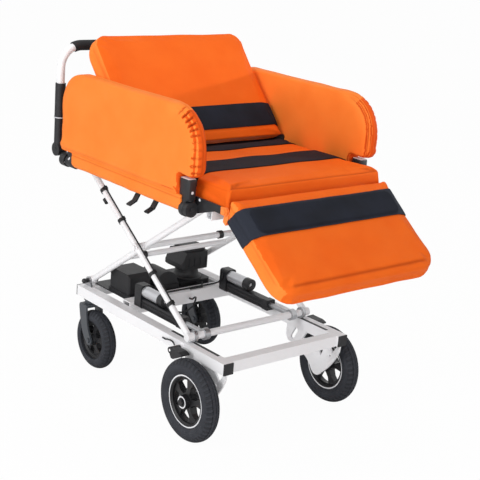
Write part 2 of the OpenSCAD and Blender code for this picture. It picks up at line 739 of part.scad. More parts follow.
module back_frame() color("black") at_back() {
  z = back_board;
  w = back_half - 10;
  ear = back_half + 2;
  difference() {
    box(8, back_len - 8, -w, w, z - 8, z);
    for (x = [back_len*0.36, back_len*0.62])
      translate([x, 0, z - 9]) linear_extrude(10) rounded(-14, 14, -120, 120, 13);
  }
  box(8, 46, -ear - 4, ear + 4, z - 8, z);
  both() difference() {
    plate(ear, ear + 4) {
      polygon([[8, z - 8], [46, z - 8], [46, z], [7, 6], [-7, 6], [-9, -2]]);
      circle(r = 9);
    }
    cyl_y(0, 0, ear - 2, ear + 6, 8 + 2*run);
  }
  for (y = [-180, 180]) box(20, back_len - 30, y - 10, y + 10, z - 24, z - 8);
  for (x = [60, back_len - 70]) box(x, x + 20, -170, 170, z - 24, z - 8);
}

module back_strap() color("black") at_back() translate([0, 0, back_board])
  band(back_prof, back_half, 130, 31, 118, 0.4, strap_t);

// Legrest, drawn flat with X down the leg and Z out of its face

module at_leg() translate([leg_x, 0, leg_z]) rotate([0, leg_drop, 0]) children();

module legrest_cushion() color("orangered") at_leg() translate([leg_start + leg_len/2, 0, leg_board])
  cushion(leg_len/2, leg_half, [34, 16, 16, 34], leg_prof);

module legrest_frame() color("black") at_leg() {
  z = leg_board;
  w = leg_half - 11;
  ear = leg_half + 3.2;
  difference() {
    box(12, leg_len - 10, -w, w, z - 7, z);
    translate([leg_len*0.55, 0, z - 8]) linear_extrude(9) rounded(-14, 14, -120, 120, 13);
  }
  box(12, 26, -leg_half - 7, leg_half + 7, z - 7, z);
  both() difference() {
    plate(ear, leg_half + 7) {
      polygon([[12, z - 7], [26, z - 7], [22, -8], [8, 9], [-8, 8]]);
      circle(r = 11);
    }
    cyl_y(0, 0, ear - 1.2, leg_half + 9, 8 + 2*run);
  }
  for (y = [-190, 190]) box(40, leg_len - 30, y - 9, y + 9, z - 19, z - 7);
}

module calf_strap() color("black") at_leg() translate([0, 0, leg_board])
  band(leg_prof, leg_half, 120, 25, 117, 0.4, strap_t);

// Side panels, drawn for the left

module panel_pad_left() color("orangered") {
  a = (pad_x1 - pad_x0)/2;
  translate([(pad_x0 + pad_x1)/2, (pad_in + pad_out)/2, pad_z + pad_h/2]) rotate([90, 0, 0])
    cushion(a, pad_h/2, [120, 105, 22, 30], faced(pad_t, 5, 100));
  z0 = pad_z - 0.1 - skirt_h;
  along_x(rear_k + 19.5, front_k - 20.5) difference() {
    union() {
      translate([hinge_y - 23, z0 + 8]) square([46, skirt_h - 8]);
      translate([hinge_y - 15, z0]) square([30, 8]);
      for (e = [-1, 1]) translate([hinge_y + 15*e, z0 + 8]) circle(r = 8);
    }
    translate([hinge_y, hinge_z]) circle(d = 20.1);
  }
}

module panel_pad_right() right() panel_pad_left();

module panel_frame_left() color("black") {
  x0 = rear_k + 0.5;
  x1 = front_k - 0.5;
  difference() {
    union() {
      cyl_x(hinge_y, hinge_z, x0, x1, 20);
      cyl_x(hinge_y, hinge_z, x0, x0 + 13, knuckle);
      cyl_x(hinge_y, hinge_z, x1 - 14, x1, knuckle);
      box(x1 - 14, x1, hinge_y - 13, hinge_y + 13, hinge_z, hinge_z + 30);
      cyl_z(x1 - 2, hinge_y, hinge_z + 24, hinge_z + 68, 27);
    }
    cyl_x(hinge_y, hinge_z, x1, x1 + 24, knuckle + 2);
    cyl_x(hinge_y, hinge_z, x1 - 13, x1 + 4, pin_d + 2*run);
    cyl_x(hinge_y, hinge_z, x0 - 4, x0 + 12, pin_d + 2*run);
  }
  translate([x1 - 2, hinge_y, hinge_z + 68]) sphere(d = 26);
}

module panel_frame_right() right() panel_frame_left();

// Push bar

module push_path(d, over) {
  both() {
    cyl_z(push_x, push_y, push_pz + 60 - over, push_z - push_bend, d);
    translate([push_x, push_y - push_bend, push_z - push_bend]) rotate([0, -90, 0])
      rotate_extrude(angle = 90) translate([push_bend, 0]) circle(d = d);
  }
  cyl_y(push_x, push_z, push_bend - push_y, push_y - push_bend, d);
}

module push_bar() color("white") difference() {
  push_path(push_d, 0);
  push_path(push_d - 5, 1);
}

module push_sockets() color("black") both() {
  difference() {
    union() {
      cyl_y(push_x, push_pz, push_y - 12, push_y + 12, knuckle);
      cyl_z(push_x, push_y, push_pz + 10, push_pz + 100, 31);
      cyl_z(push_x, push_y, push_pz + 100, push_pz + 106, 35);
      cyl_z(push_x, push_y, push_pz + 106, push_pz + 212, 33);
    }
    cyl_z(push_x, push_y, push_pz + 59.9, push_pz + 214, push_d + 0.1);
    cyl_y(push_x, push_pz, push_y - 20, push_y + 20, 10 + 2*run);
    cyl_y(push_x, push_pz, push_y - 22, push_y - 12, knuckle + 4);
  }
}

// The grip runs on into the bends by the same angle at both ends
module grip_path(d, over) {
  y = push_y - push_bend;
  cyl_y(push_x, push_z, -y, y, d);
  both() translate([push_x, y, push_z - push_bend]) rotate([0, -90, 0])
    rotate_extrude(angle = grip_turn + over) translate([push_bend, 0]) circle(d = d);
}

module push_grip() color("black") difference() {
  grip_path(grip_d, 0);
  grip_path(push_d + 0.1, 1);
}

// Placing: every piece moves to the middle once

translate([-x_mid, 0, 0]) {
  side_rail_right();
  side_rail_left();
  front_cross_tube();
  rear_cross_tube();
  actuator_beam();
  rail_trim();
  wheel_brackets();
  pivot_brackets();
  caster_heads();
  actuator_right();
  actuator_left();
  motors();
  power_tray();
  control_box();
  power_housing();
  battery_dock();
  battery_pack();
  harness();
  tyre_right();
  rim_right();
  tyre_left();
  rim_left();
  caster_fork_right();
  caster_rim_right();
  caster_tyre_right();
  caster_fork_left();
  caster_rim_left();
  caster_tyre_left();
  brake_shoe_right();
  brake_shoe_left();
  arm_b_right();
  arm_b_left();
  arm_b_tubes();
  slide_rollers();
  arm_a_right();
  arm_a_left();
  crossbar();
  track_rollers();
  arm_cable();
  actuator_rod_right();
  actuator_rod_left();
  seat_frame();
  hinge_plates();
  seat_deck();
  seat_cushion();
  seat_straps();
  release_lever();
  back_frame();
  back_cushion();
  back_strap();
  legrest_frame();
  legrest_cushion();
  calf_strap();
  panel_frame_right();
  panel_pad_right();
  panel_frame_left();
  panel_pad_left();
  push_bar();
  push_sockets();
  push_grip();
}
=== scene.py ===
# %% [markdown]
# # A special needs buggy
# The CAD model gives the hard parts: frame, scissor lift, wheels, hinges. This lesson dresses it.
# Soft goods are remade as sewn covers over foam, and every hard part gets a finish made of nodes.
# All lengths are metres. X points to the legrest, Y to the occupant's left and Z up.

# %% Load the frame
import json
import math

import bmesh
import bpy
import numpy as np
from mathutils import Matrix, Vector


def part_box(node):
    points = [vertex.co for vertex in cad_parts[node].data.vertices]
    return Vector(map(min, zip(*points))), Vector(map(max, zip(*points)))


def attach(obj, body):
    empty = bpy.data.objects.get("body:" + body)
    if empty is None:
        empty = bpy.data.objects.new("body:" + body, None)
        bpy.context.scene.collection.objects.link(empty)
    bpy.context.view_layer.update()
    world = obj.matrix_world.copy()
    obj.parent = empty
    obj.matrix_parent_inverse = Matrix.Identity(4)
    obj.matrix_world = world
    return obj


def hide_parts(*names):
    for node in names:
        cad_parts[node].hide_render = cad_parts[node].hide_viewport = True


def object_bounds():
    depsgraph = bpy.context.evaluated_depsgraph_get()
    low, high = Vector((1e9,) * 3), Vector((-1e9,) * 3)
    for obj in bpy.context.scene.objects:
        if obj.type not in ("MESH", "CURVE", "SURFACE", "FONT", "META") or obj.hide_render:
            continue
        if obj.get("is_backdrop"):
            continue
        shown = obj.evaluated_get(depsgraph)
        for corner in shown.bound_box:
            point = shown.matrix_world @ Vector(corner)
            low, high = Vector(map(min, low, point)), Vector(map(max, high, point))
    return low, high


SIDES = ("right", "left")
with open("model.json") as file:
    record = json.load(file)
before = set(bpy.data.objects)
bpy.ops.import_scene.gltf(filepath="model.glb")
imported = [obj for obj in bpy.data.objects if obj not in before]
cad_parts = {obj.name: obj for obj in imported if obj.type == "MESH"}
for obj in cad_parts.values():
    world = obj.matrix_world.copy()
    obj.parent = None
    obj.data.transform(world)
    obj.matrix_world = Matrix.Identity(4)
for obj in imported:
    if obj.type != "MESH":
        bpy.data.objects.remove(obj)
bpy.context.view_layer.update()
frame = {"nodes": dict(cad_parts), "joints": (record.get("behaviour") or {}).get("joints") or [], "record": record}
nodes = frame["nodes"]
pivot = {j["name"]: Vector(j["pos_m"]) for j in frame["joints"]}
axle_x = pivot["front_right_spin"].x

# %% [markdown]
# ## Camera
# The view was found by fitting a camera to the four wheels and to pairs of left and right corners.
# It stands in front of the buggy on its right, a little above it, and is turned slightly on its own
# axis. A long lens keeps the parallel rails almost parallel, as in a catalogue picture.

# %% Camera
AZIMUTH, ELEVATION, ROLL = 49.16, 16.40, 4.53
CAMERA_FROM_AXLE = Vector((2.47021, -2.27340, 1.56495))
FOCAL_PX, FRAME_PX, SENSOR_MM = 1163.93, 480.0, 36.0


def camera_axes(azimuth, elevation, roll):
    a, e, t = (math.radians(v) for v in (azimuth, elevation, roll))
    back = Vector((math.sin(a) * math.cos(e), -math.cos(a) * math.cos(e), math.sin(e)))
    level = Vector((math.cos(a), math.sin(a), 0.0))
    upright = back.cross(level)
    right = level * math.cos(t) + upright * math.sin(t)
    up = upright * math.cos(t) - level * math.sin(t)
    return Matrix((right, up, back)).transposed()


camera = bpy.data.objects.new("camera", bpy.data.cameras.new("camera"))
bpy.context.scene.collection.objects.link(camera)
camera.data.sensor_width = SENSOR_MM
camera.data.lens = FOCAL_PX / FRAME_PX * SENSOR_MM
camera.matrix_world = Matrix.Translation(Vector((axle_x, 0, 0)) + CAMERA_FROM_AXLE) @ camera_axes(
    AZIMUTH, ELEVATION, ROLL).to_4x4()
bpy.context.scene.camera = camera
print("lens", round(camera.data.lens, 2), "mm")

# %% [markdown]
# ## Shader maths
# A node tree is easier to read as a formula. `Value` wraps one output socket, so that
# `1 - mask * 0.4` adds the Math nodes itself. `Finish` is one material, with a single method for
# every other kind of node.

# %% Socket wrapper
class Value:
    def __init__(self, finish, socket):
        self.finish, self.socket = finish, socket

    def _math(self, operation, first, second=None):
        return self.finish.node("Math", {"operation": operation}, {0: first, 1: second})

    def __add__(self, other):
        return self._math("ADD", self, other)

    def __sub__(self, other):
        return self._math("SUBTRACT", self, other)

    def __rsub__(self, other):
        return self._math("SUBTRACT", other, self)

    def __mul__(self, other):
        return self._math("MULTIPLY", self, other)

    def apply(self, operation, other=None):
        return self._math(operation, self, other)

    def step(self, low, high):
        """0 below low, 1 above high and smooth between them."""
        return self.finish.node("MapRange", {"interpolation_type": "SMOOTHSTEP"},
                                {0: self, 1: low, 2: high, 3: 0.0, 4: 1.0})


class Finish:
    def __init__(self, name, **plain):
        self.material = bpy.data.materials.new(name)
        self.material.use_nodes = True
        self.tree = self.material.node_tree
        self.shader = self.tree.nodes["Principled BSDF"]
        self.bump_chain = None
        for key, value in plain.items():
            self.shader.inputs[key.replace("_", " ")].default_value = value

    def node(self, kind, settings=None, sockets=None, out=0):
        made = self.tree.nodes.new("ShaderNode" + kind)
        for key, value in (settings or {}).items():
            setattr(made, key, value)
        for key, value in (sockets or {}).items():
            self.feed(made.inputs[key], value)
        return Value(self, made.outputs[out])

    def feed(self, socket, value):
        if value is None:
            return
        if isinstance(value, Value):
            self.tree.links.new(value.socket, socket)
        else:
            socket.default_value = value

    def place(self, which="Object"):
        return self.node("TexCoord", out={"UV": 2, "Object": 3}[which])

    def noise(self, where, scale, detail=3.0, rough=0.5):
        return self.node("TexNoise", {}, {"Vector": where, "Scale": scale, "Detail": detail,
                                          "Roughness": rough})

    def lines(self, where, stretch):
        """Fine lines along the axis that is stretched least."""
        return self.noise(self.node("Mapping", {}, {0: where, 3: stretch}), 1.0, 3.0)

    def split(self, where):
        apart = self.node("SeparateXYZ", {}, {0: where})
        return [Value(self, s) for s in apart.socket.node.outputs]

    def mix(self, factor, first, second):
        return self.node("Mix", {"data_type": "RGBA"}, {0: factor, 6: first, 7: second}, out=2)

    def attribute(self, name):
        return self.node("Attribute", {"attribute_name": name}, out=2)

    def bump(self, height, distance, strength=1.0):
        self.bump_chain = self.node("Bump", {}, {
            "Strength": strength, "Distance": distance, "Height": height,
            "Normal": self.bump_chain})
        self.feed(self.shader.inputs["Normal"], self.bump_chain)

    def colour(self, value):
        self.feed(self.shader.inputs["Base Color"], value)

    def rough(self, value):
        self.feed(self.shader.inputs["Roughness"], value)


def rgb(*screen):
    """A screen colour of 0 to 255 as the linear numbers that a shader takes."""
    line = [((c / 255 + 0.055) / 1.055) ** 2.4 if c > 10 else c / 255 / 12.92 for c in screen]
    return (*line, 1.0)


# %% [markdown]
# ## Finishes
# The covers are a coated orange weave. It has a fine thread, a slow drift in colour where the foam
# lifts it, and a darker line in each seam, which the mesh carries as the attribute `seam`. That
# attribute also darkens the pleats of the gathers, which is painted shade. A lighter copy of the
# orange is painted light, for faces turned to the side, and a darker copy is painted shade, for the
# front bands of the side pads. A padded strap is lighter past its padding, which is the attribute
# `bare`. Hard parts are powder-coated tube, moulded plastic, rubber and bare metal, each with its own
# grain.

# %% Cloth finishes
TURN = 2 * math.pi
THREADS_PER_METRE = 620.0
BARE_WEB, STITCHES = rgb(58, 62, 73), rgb(7, 7, 9)


def weave(finish):
    """Over and under of a plain weave on the piece's own UV map, which is in metres."""
    u, v, _ = finish.split(finish.place("UV"))
    across = (u * (TURN * THREADS_PER_METRE)).apply("SINE")
    along = (v * (TURN * THREADS_PER_METRE)).apply("SINE")
    return across * along


def cover_cloth(name, face, deep, dark):
    made = Finish(name, Roughness=0.62, Specular_IOR_Level=0.10)
    where = made.place()
    drift = made.noise(where, 9.0, 3.0)
    thread = weave(made)
    seam = made.attribute("seam")
    tone = made.mix(drift.step(0.3, 0.75) * 0.45, face, deep)
    tone = made.mix((thread * 0.5 + 0.5) * 0.10, tone, deep)
    # seam darkens the seams, and also the pleats of the gathers, where the darkening is painted shade
    made.colour(made.mix(seam * 0.75, tone, dark))
    made.rough(drift * 0.16 + 0.5 + seam * 0.1)
    made.bump(made.noise(where, 26.0, 4.0), 0.0018, 0.5)
    made.bump(thread, 0.00020, 0.5)
    return made.material


def strap_cloth(name, face, edge, ribs_per_metre):
    made = Finish(name, Roughness=0.74, Specular_IOR_Level=0.12)
    u, v, _ = made.split(made.place("UV"))
    rib = ((u + v * 0.35) * (TURN * ribs_per_metre)).apply("SINE")
    drift = made.noise(made.place(), 14.0, 4.0)
    stitched = made.attribute("seam")
    tone = made.mix(drift.step(0.25, 0.8), face, edge)
    tone = made.mix(made.attribute("bare") * 0.45, tone, BARE_WEB)
    tone = made.mix(rib.step(-0.2, 0.9) * 0.12, tone, edge)
    made.colour(made.mix(stitched * 0.6, tone, STITCHES))
    made.rough(rib * 0.04 + 0.72)
    made.bump(rib, 0.00025, 0.4)
    return made.material


orange = cover_cloth("orange_cover", rgb(245, 108, 27), rgb(236, 91, 15), rgb(150, 44, 6))
# the second copy is darker: painted shade, for the front bands of the side pads
orange_painted_shade = cover_cloth("orange_painted_shade_cover", rgb(232, 90, 20), rgb(216, 74, 12), rgb(132, 38, 6))
# the third copy is lighter: painted light, for faces turned to the side
orange_painted_light = cover_cloth("orange_painted_light_cover", rgb(254, 138, 56), rgb(246, 120, 40),
                          rgb(176, 62, 12))
webbing = strap_cloth("black_webbing", rgb(27, 29, 37), rgb(19, 20, 26), 340.0)
padded_strap = strap_cloth("padded_strap", rgb(31, 34, 44), rgb(23, 25, 32), 260.0)

# %% Hard finishes
WHITE, WHITE_SHADE = rgb(244, 244, 246), rgb(232, 232, 236)
# the bright grey marks bolt heads, light partly as metal and partly as a painted glint, and a painted highlight
# along the top of each knuckle post
BOLT_HEAD_AND_HIGHLIGHT, MOULDING, SCUFF = rgb(226, 227, 230), rgb(26, 26, 29), rgb(44, 45, 49)
MARK_EDGE = 0.0004
GROOVE_SHADE, SIDE_WALL_PITCH = rgb(26, 27, 31), 0.006
PLUG_RADIUS = 0.0070


def powder_coat(name, colour, shade, rough):
    made = Finish(name, Specular_IOR_Level=0.5, Coat_Weight=0.15, Coat_Roughness=0.25)
    where = made.place()
    handled = made.noise(where, 5.0, 4.0)
    made.colour(made.mix(handled.step(0.45, 0.8) * 0.5, colour, shade))
    made.rough(handled * 0.14 + rough)
    made.bump(made.noise(where, 420.0, 2.0), 0.0001, 0.2)
    return made.material


def brushed(name, colour, rough):
    made = Finish(name, Metallic=1.0)
    lines = made.lines(made.place(), (30.0, 900.0, 900.0))
    made.colour(made.mix(lines, colour, tuple(c * 0.72 for c in colour[:3]) + (1.0,)))
    made.rough(lines * 0.2 + rough)
    made.bump(lines, 0.0001, 0.4)
    return made.material


def about(finish, centre, across=(0, 2)):
    """Distance from an axle and the angle round it. across are the two axes square to the axle."""
    parts = finish.split(finish.place())
    a, b = (parts[k] - centre[k] for k in across)
    return (a * a + b * b).apply("SQRT"), b.apply("ARCTAN2", a)


def between(value, low, high, soft=MARK_EDGE):
    return value.step(low - soft, low + soft) * (1 - value.step(high - soft, high + soft))


def disc(finish, centre, across, radius):
    out, _ = about(finish, centre, across)
    return 1 - out.step(radius - MARK_EDGE, radius + MARK_EDGE)


def scuffed(finish, where, colour, worn):
    """The colour of plastic that has been handled, and how much duller the handling makes it."""
    scuff = finish.noise(where, 34.0, 5.0, 0.65)
    return finish.mix(scuff.step(0.5, 0.78) * 0.6, colour, worn), scuff * 0.22


def grain_bump(finish, where, grain, strength):
    cells = finish.node("TexVoronoi", {}, {"Vector": where, "Scale": grain})
    finish.bump(cells, 0.00025, strength)


def moulded(name, colour, worn, rough, grain=900.0, marks=()):
    """Scuffed plastic with a grain. A mark is its colour and its limits. A limit is (axis, low,
    high), or (two axes, centre, radius) for a disc. Both sides of the buggy count alike along Y."""
    made = Finish(name, Specular_IOR_Level=0.45)
    where = made.place()
    parts = made.split(where)
    tone, dull = scuffed(made, where, colour, worn)
    for mark, limits in marks:
        here = None
        for axis, first, second in limits:
            if isinstance(first, Vector):
                inside = disc(made, first, axis, second)
            else:
                part = parts[axis].apply("ABSOLUTE") if axis == 1 else parts[axis]
                inside = between(part, first, second)
            here = inside if here is None else here * inside
        tone = made.mix(here, tone, mark)
    made.colour(tone)
    made.rough(dull + rough)
    grain_bump(made, where, grain, 0.5)
    return made.material


def rubber(name, colour, dusty, axle, radius, width, lugs):
    """A tyre: dusty rubber, lugs cut across the shoulders with painted shade between them, and fine
    rings down the side wall.
    """
    made = Finish(name, Specular_IOR_Level=0.3)
    where = made.place()
    dust = made.noise(where, 22.0, 5.0, 0.6)
    out, turn = about(made, axle)
    side = (made.split(where)[1] - axle.y).apply("ABSOLUTE")
    lug = (turn * lugs + side * (TURN / width)).apply("SINE").step(-0.35, 0.35)
    shoulder = between(out, radius - width * 0.30, radius - width * 0.03, 0.002)
    wall = between(out, radius * 0.70, radius - width * 0.34, 0.003)
    ring = (out * (TURN / SIDE_WALL_PITCH)).apply("SINE") * wall
    tone = made.mix(dust.step(0.42, 0.8) * 0.7, colour, dusty)
    # the shoulders are darkened between the lugs: painted shade in the grooves
    made.colour(made.mix(shoulder * (1 - lug) * 0.55, tone, GROOVE_SHADE))
    made.rough(dust * 0.2 + 0.62)
    made.bump(lug * shoulder + ring * 0.12, 0.0026, 0.8)
    made.bump(made.noise(where, 420.0, 3.0), 0.0004, 0.4)
    return made.material


def wheel_moulding(name, axle, edge_ring, hub_ring):
    """A black rim. Between the two radii of each ring it is bare white."""
    made = Finish(name, Specular_IOR_Level=0.5)
    where = made.place()
    out, _ = about(made, axle)
    tone, dull = scuffed(made, where, rgb(22, 22, 25), rgb(40, 41, 45))
    white = between(out, *edge_ring) + between(out, *hub_ring)
    made.colour(made.mix(white, tone, rgb(236, 237, 240)))
    made.rough(dull + 0.26)
    grain_bump(made, where, 1100.0, 0.4)
    return made.material


def motor_can(name, cap_from, shafts):
    """Two bright motor cans. Past cap_from each is a black cap, with a white plug in the middle."""
    made = Finish(name)
    where = made.place()
    lines = made.lines(where, (900.0, 30.0, 30.0))
    cap = made.split(where)[0].step(cap_from - MARK_EDGE, cap_from + MARK_EDGE)
    first, second = (disc(made, centre, (1, 2), PLUG_RADIUS) for centre in shafts)
    bare = made.mix(lines * 0.5, rgb(214, 215, 218), rgb(180, 181, 185))
    tone = made.mix(cap, bare, rgb(24, 24, 27))
    made.colour(made.mix((first + second) * cap, tone, rgb(238, 238, 240)))
    made.feed(made.shader.inputs["Metallic"], (1 - cap) * 0.85)
    made.rough(lines * 0.16 + 0.30)
    return made.material


white_paint = powder_coat("white_powder_coat", WHITE, WHITE_SHADE, 0.28)
grey_paint = powder_coat("grey_powder_coat", rgb(66, 70, 76), rgb(52, 55, 60), 0.36)
black_plastic = moulded("black_moulding", MOULDING, SCUFF, 0.36)
box_plastic = moulded("housing_plastic", rgb(22, 22, 25), rgb(38, 39, 43), 0.42, 700.0)
black_metal = moulded("black_anodised", rgb(24, 24, 27), rgb(40, 41, 45), 0.3, 1500.0)
foam = moulded("grip_foam", rgb(24, 24, 26), rgb(40, 40, 43), 0.7, 500.0)
steel = brushed("bright_steel", rgb(196, 197, 200), 0.3)
cable_skin = moulded("cable_sheath", rgb(18, 18, 20), rgb(30, 30, 33), 0.4, 600.0)
board = moulded("deck_board", rgb(28, 28, 30), rgb(40, 40, 42), 0.55, 300.0)

FINISH_OF = {
    "white_paint": white_paint, "grey_paint": grey_paint, "black_plastic": black_plastic,
    "orange_fabric": orange, "black_webbing": webbing, "tyre_rubber": foam,
    "cable_rubber": cable_skin, "grip_foam": foam, "black_aluminium": black_metal,
    "bright_steel": steel, "deck_board": board,
}
SLOT_OF = {row["node"]: row["material_slot"] for row in frame["record"]["subparts"]}


def paint(node, material):
    mesh = nodes[node].data
    mesh.materials.clear()
    mesh.materials.append(material)


for node, slot in SLOT_OF.items():
    paint(node, FINISH_OF[slot])
for node in ("control_box", "power_housing", "battery_dock", "battery_pack"):
    paint(node, box_plastic)

# %% [markdown]
# Wheels, motors and knuckles carry marks at known places: white rings on the rims, lugs on the
# tyres with painted shade between them, black caps on the motors, and bolt heads that are light
# partly as metal and partly as a painted glint. Each mark is a distance from an axle or from a
# hinge, so it needs no picture.

# %% Marked finishes
TYRE, TYRE_DUST = rgb(46, 48, 54), rgb(66, 68, 74)
RING_OUTER, RING_INNER, HUB_RING = 0.0008, 0.0048, (0.0148, 0.0188)
CAP_LENGTH, CAN_RADIUS = 0.0252, 0.0205
SCREW_OUT, SCREW_DOWN, SCREW_RADIUS, SCREW_DEPTH = 0.0150, 0.004, 0.0034, 0.02
COLLAR, COLLAR_LOW, COLLAR_HIGH = rgb(205, 206, 210), 0.1012, 0.1048
# the orange drawn on hard parts is the lighter side tone of the covers, with painted light in it
SIDE_LIT_COVER = rgb(252, 134, 54)
HINGE_COVER_BACK, HINGE_COVER_FRONT, HINGE_COVER_Y = 0.014, 0.05, (0.30, 0.33)
LEG_RIM_Y, BACK_RIM_Y, BACK_RIM_UP, HIGH_ABOVE = (0.2700, 0.33), (0.2660, 0.2965), 0.012, 2.0
PLATE_BOLT, PLATE_BOLT_RADIUS = Vector((-0.108, 0, 0.006)), 0.0040
AXLE_CAP_RADIUS, AXLE_CAP_Y = 0.0110, (0.300, 0.34)

for kind, joint, lugs in (("", "front_%s_spin", 46), ("caster_", "caster_%s_spin", 40)):
    for side in SIDES:
        axle, tyre = pivot[joint % side], kind + "tyre_" + side
        low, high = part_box(tyre)
        radius, width = (high.z - low.z) / 2, high.y - low.y
        paint(tyre, rubber("rubber_" + kind + side, TYRE, TYRE_DUST, axle, radius, width, lugs))
        if kind == "":
            low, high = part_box("rim_" + side)
            edge = (high.z - low.z) / 2
            paint("rim_" + side, wheel_moulding("moulding_" + side, axle, (
                edge - RING_INNER, edge - RING_OUTER), HUB_RING))

low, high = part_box("motors")
shafts = [Vector((0, sign * (high.y - CAN_RADIUS), (low.z + high.z) / 2)) for sign in (1, -1)]
paint("motors", motor_can("motor_can", high.x - CAP_LENGTH, shafts))

for side, sign in zip(SIDES, (-1, 1)):
    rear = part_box("panel_frame_" + side)[0].x
    screw = pivot["panel_%s_fold" % side] + Vector((0, SCREW_OUT * sign, -SCREW_DOWN))
    paint("panel_frame_" + side, moulded("knuckle_" + side, MOULDING, SCUFF, 0.36, marks=[
        (BOLT_HEAD_AND_HIGHLIGHT, [((1, 2), screw, SCREW_RADIUS), (0, rear, rear + SCREW_DEPTH)])]))

socket_z = pivot["push_bar_angle"].z
paint("push_sockets", moulded("socket", MOULDING, SCUFF, 0.40, marks=[
    (COLLAR, [(2, socket_z + COLLAR_LOW, socket_z + COLLAR_HIGH)])]))
# the covers are drawn over the hinge between seat and legrest and round the rims of the shells,
# in the lighter side orange that has painted light in it
leg_hinge, back_hinge = pivot["legrest_angle"], pivot["recline"]
paint("hinge_plates", moulded("hinge_moulding", MOULDING, SCUFF, 0.40, marks=[
    (SIDE_LIT_COVER, [(0, leg_hinge.x - HINGE_COVER_BACK, leg_hinge.x + HINGE_COVER_FRONT),
               (1, *HINGE_COVER_Y)]),
    (BOLT_HEAD_AND_HIGHLIGHT, [((0, 2), leg_hinge + PLATE_BOLT, PLATE_BOLT_RADIUS)])]))
paint("legrest_frame", moulded("legrest_moulding", MOULDING, SCUFF, 0.40, marks=[
    (SIDE_LIT_COVER, [(1, *LEG_RIM_Y)])]))
paint("back_frame", moulded("back_moulding", MOULDING, SCUFF, 0.40, marks=[
    (SIDE_LIT_COVER, [(1, *BACK_RIM_Y), (2, back_hinge.z + BACK_RIM_UP, HIGH_ABOVE)])]))
paint("wheel_brackets", moulded("bracket_paint", WHITE, WHITE_SHADE, 0.28, marks=[
    (MOULDING, [((0, 2), pivot["front_right_spin"], AXLE_CAP_RADIUS), (1, *AXLE_CAP_Y)])]))
print("finishes", len(bpy.data.materials))

# %% [markdown]
# ## Cushions
# A boxed cushion is two panels of cloth joined by a side band and filled with foam. It starts as
# its outline, drawn up into a slab with rounded rims. A voxel remesh gives it an even skin, and a
# short cloth simulation with air pressure inside swells it, so the faces crown and the sides draw
# in at the corners. The underside, or the hem of a side pad, is pinned, and each move is capped.

# %% Cushion helpers
VOXEL = 0.006
SIM_FRAMES = 20
PRESSURE = 4.0


def link(name, data):
    made = bpy.data.objects.new(name, data)
    bpy.context.scene.collection.objects.link(made)
    return made


def mesh_from(name, bm):
    mesh = bpy.data.meshes.new(name)
    bm.normal_update()
    bm.to_mesh(mesh)
    bm.free()
    return mesh


def bevel(bm, edges, width, segments):
    bmesh.ops.bevel(bm, geom=edges, offset=width, offset_type="OFFSET", segments=segments,
                    profile=0.5, affect="EDGES", clamp_overlap=True, material=-1)


def outline(corners, steps=8):
    """A ring of points from (x, y, radius) of each square corner, anticlockwise."""
    ring = []
    for k, (x, y, radius) in enumerate(corners):
        here = Vector((x, y))
        before = (Vector(corners[k - 1][:2]) - here).normalized() * radius
        after = (Vector(corners[(k + 1) % len(corners)][:2]) - here).normalized() * radius
        ring += [here + before + after - before.lerp(after, 1 - s / steps).normalized() * radius
                 for s in range(steps + 1)]
    return ring


def slab(ring, thick, edge):
    """A cushion on Z = 0 with that outline and rounded rims."""
    bm = bmesh.new()
    lower = bm.faces.new([bm.verts.new((p.x, p.y, 0.0)) for p in ring])
    grown = bmesh.ops.extrude_face_region(bm, geom=[lower])["geom"]
    upper = [g for g in grown if isinstance(g, bmesh.types.BMVert)]
    bmesh.ops.translate(bm, vec=(0, 0, thick), verts=upper)
    bmesh.ops.holes_fill(bm, edges=[e for e in bm.edges if e.is_boundary])
    bmesh.ops.recalc_face_normals(bm, faces=bm.faces[:])
    for level in (thick, 0.0):
        rim = [e for e in bm.edges if all(abs(v.co.z - level) < 1e-6 for v in e.verts)]
        bevel(bm, rim, edge, 4)
    return bm


def block(length, width, thick, radii, edge):
    """A slab with a rounded square outline. radii run from the +X+Y corner, anticlockwise."""
    signs = ((1, 1), (-1, 1), (-1, -1), (1, -1))
    corners = [(a * length / 2, b * width / 2, r) for (a, b), r in zip(signs, radii)]
    return slab(outline(corners), thick, edge)


def vectors(items, attribute):
    flat = np.empty(len(items) * 3, np.float32)
    items.foreach_get(attribute, flat)
    return flat.reshape(-1, 3).astype(float)


def coordinates(mesh):
    return vectors(mesh.vertices, "co")


def normals(mesh):
    return vectors(mesh.vertex_normals, "vector")


def face_normals(mesh):
    return vectors(mesh.polygons, "normal")


def set_coordinates(mesh, points):
    mesh.vertices.foreach_set("co", points.astype(np.float32).ravel())
    mesh.update()


def store(mesh, name, values):
    """Keeps a value of 0 to 1 for each point, which the finishes read."""
    layer = mesh.attributes.new(name, "FLOAT", "POINT")
    layer.data.foreach_set("value", np.clip(values, 0, 1).astype(np.float32))


def dress(mesh, *materials):
    mesh.materials.clear()
    for material in materials:
        mesh.materials.append(material)
    mesh.polygons.foreach_set("use_smooth", [True] * len(mesh.polygons))


def evaluated_mesh(obj):
    graph = bpy.context.evaluated_depsgraph_get()
    return bpy.data.meshes.new_from_object(obj.evaluated_get(graph))


def remeshed(name, bm, voxel=VOXEL):
    rough_shape = link(name + "_start", mesh_from(name, bm))
    skin = rough_shape.modifiers.new("skin", "REMESH")
    skin.mode, skin.voxel_size = "VOXEL", voxel
    mesh = evaluated_mesh(rough_shape)
    bpy.data.objects.remove(rough_shape)
    return link(name, mesh)


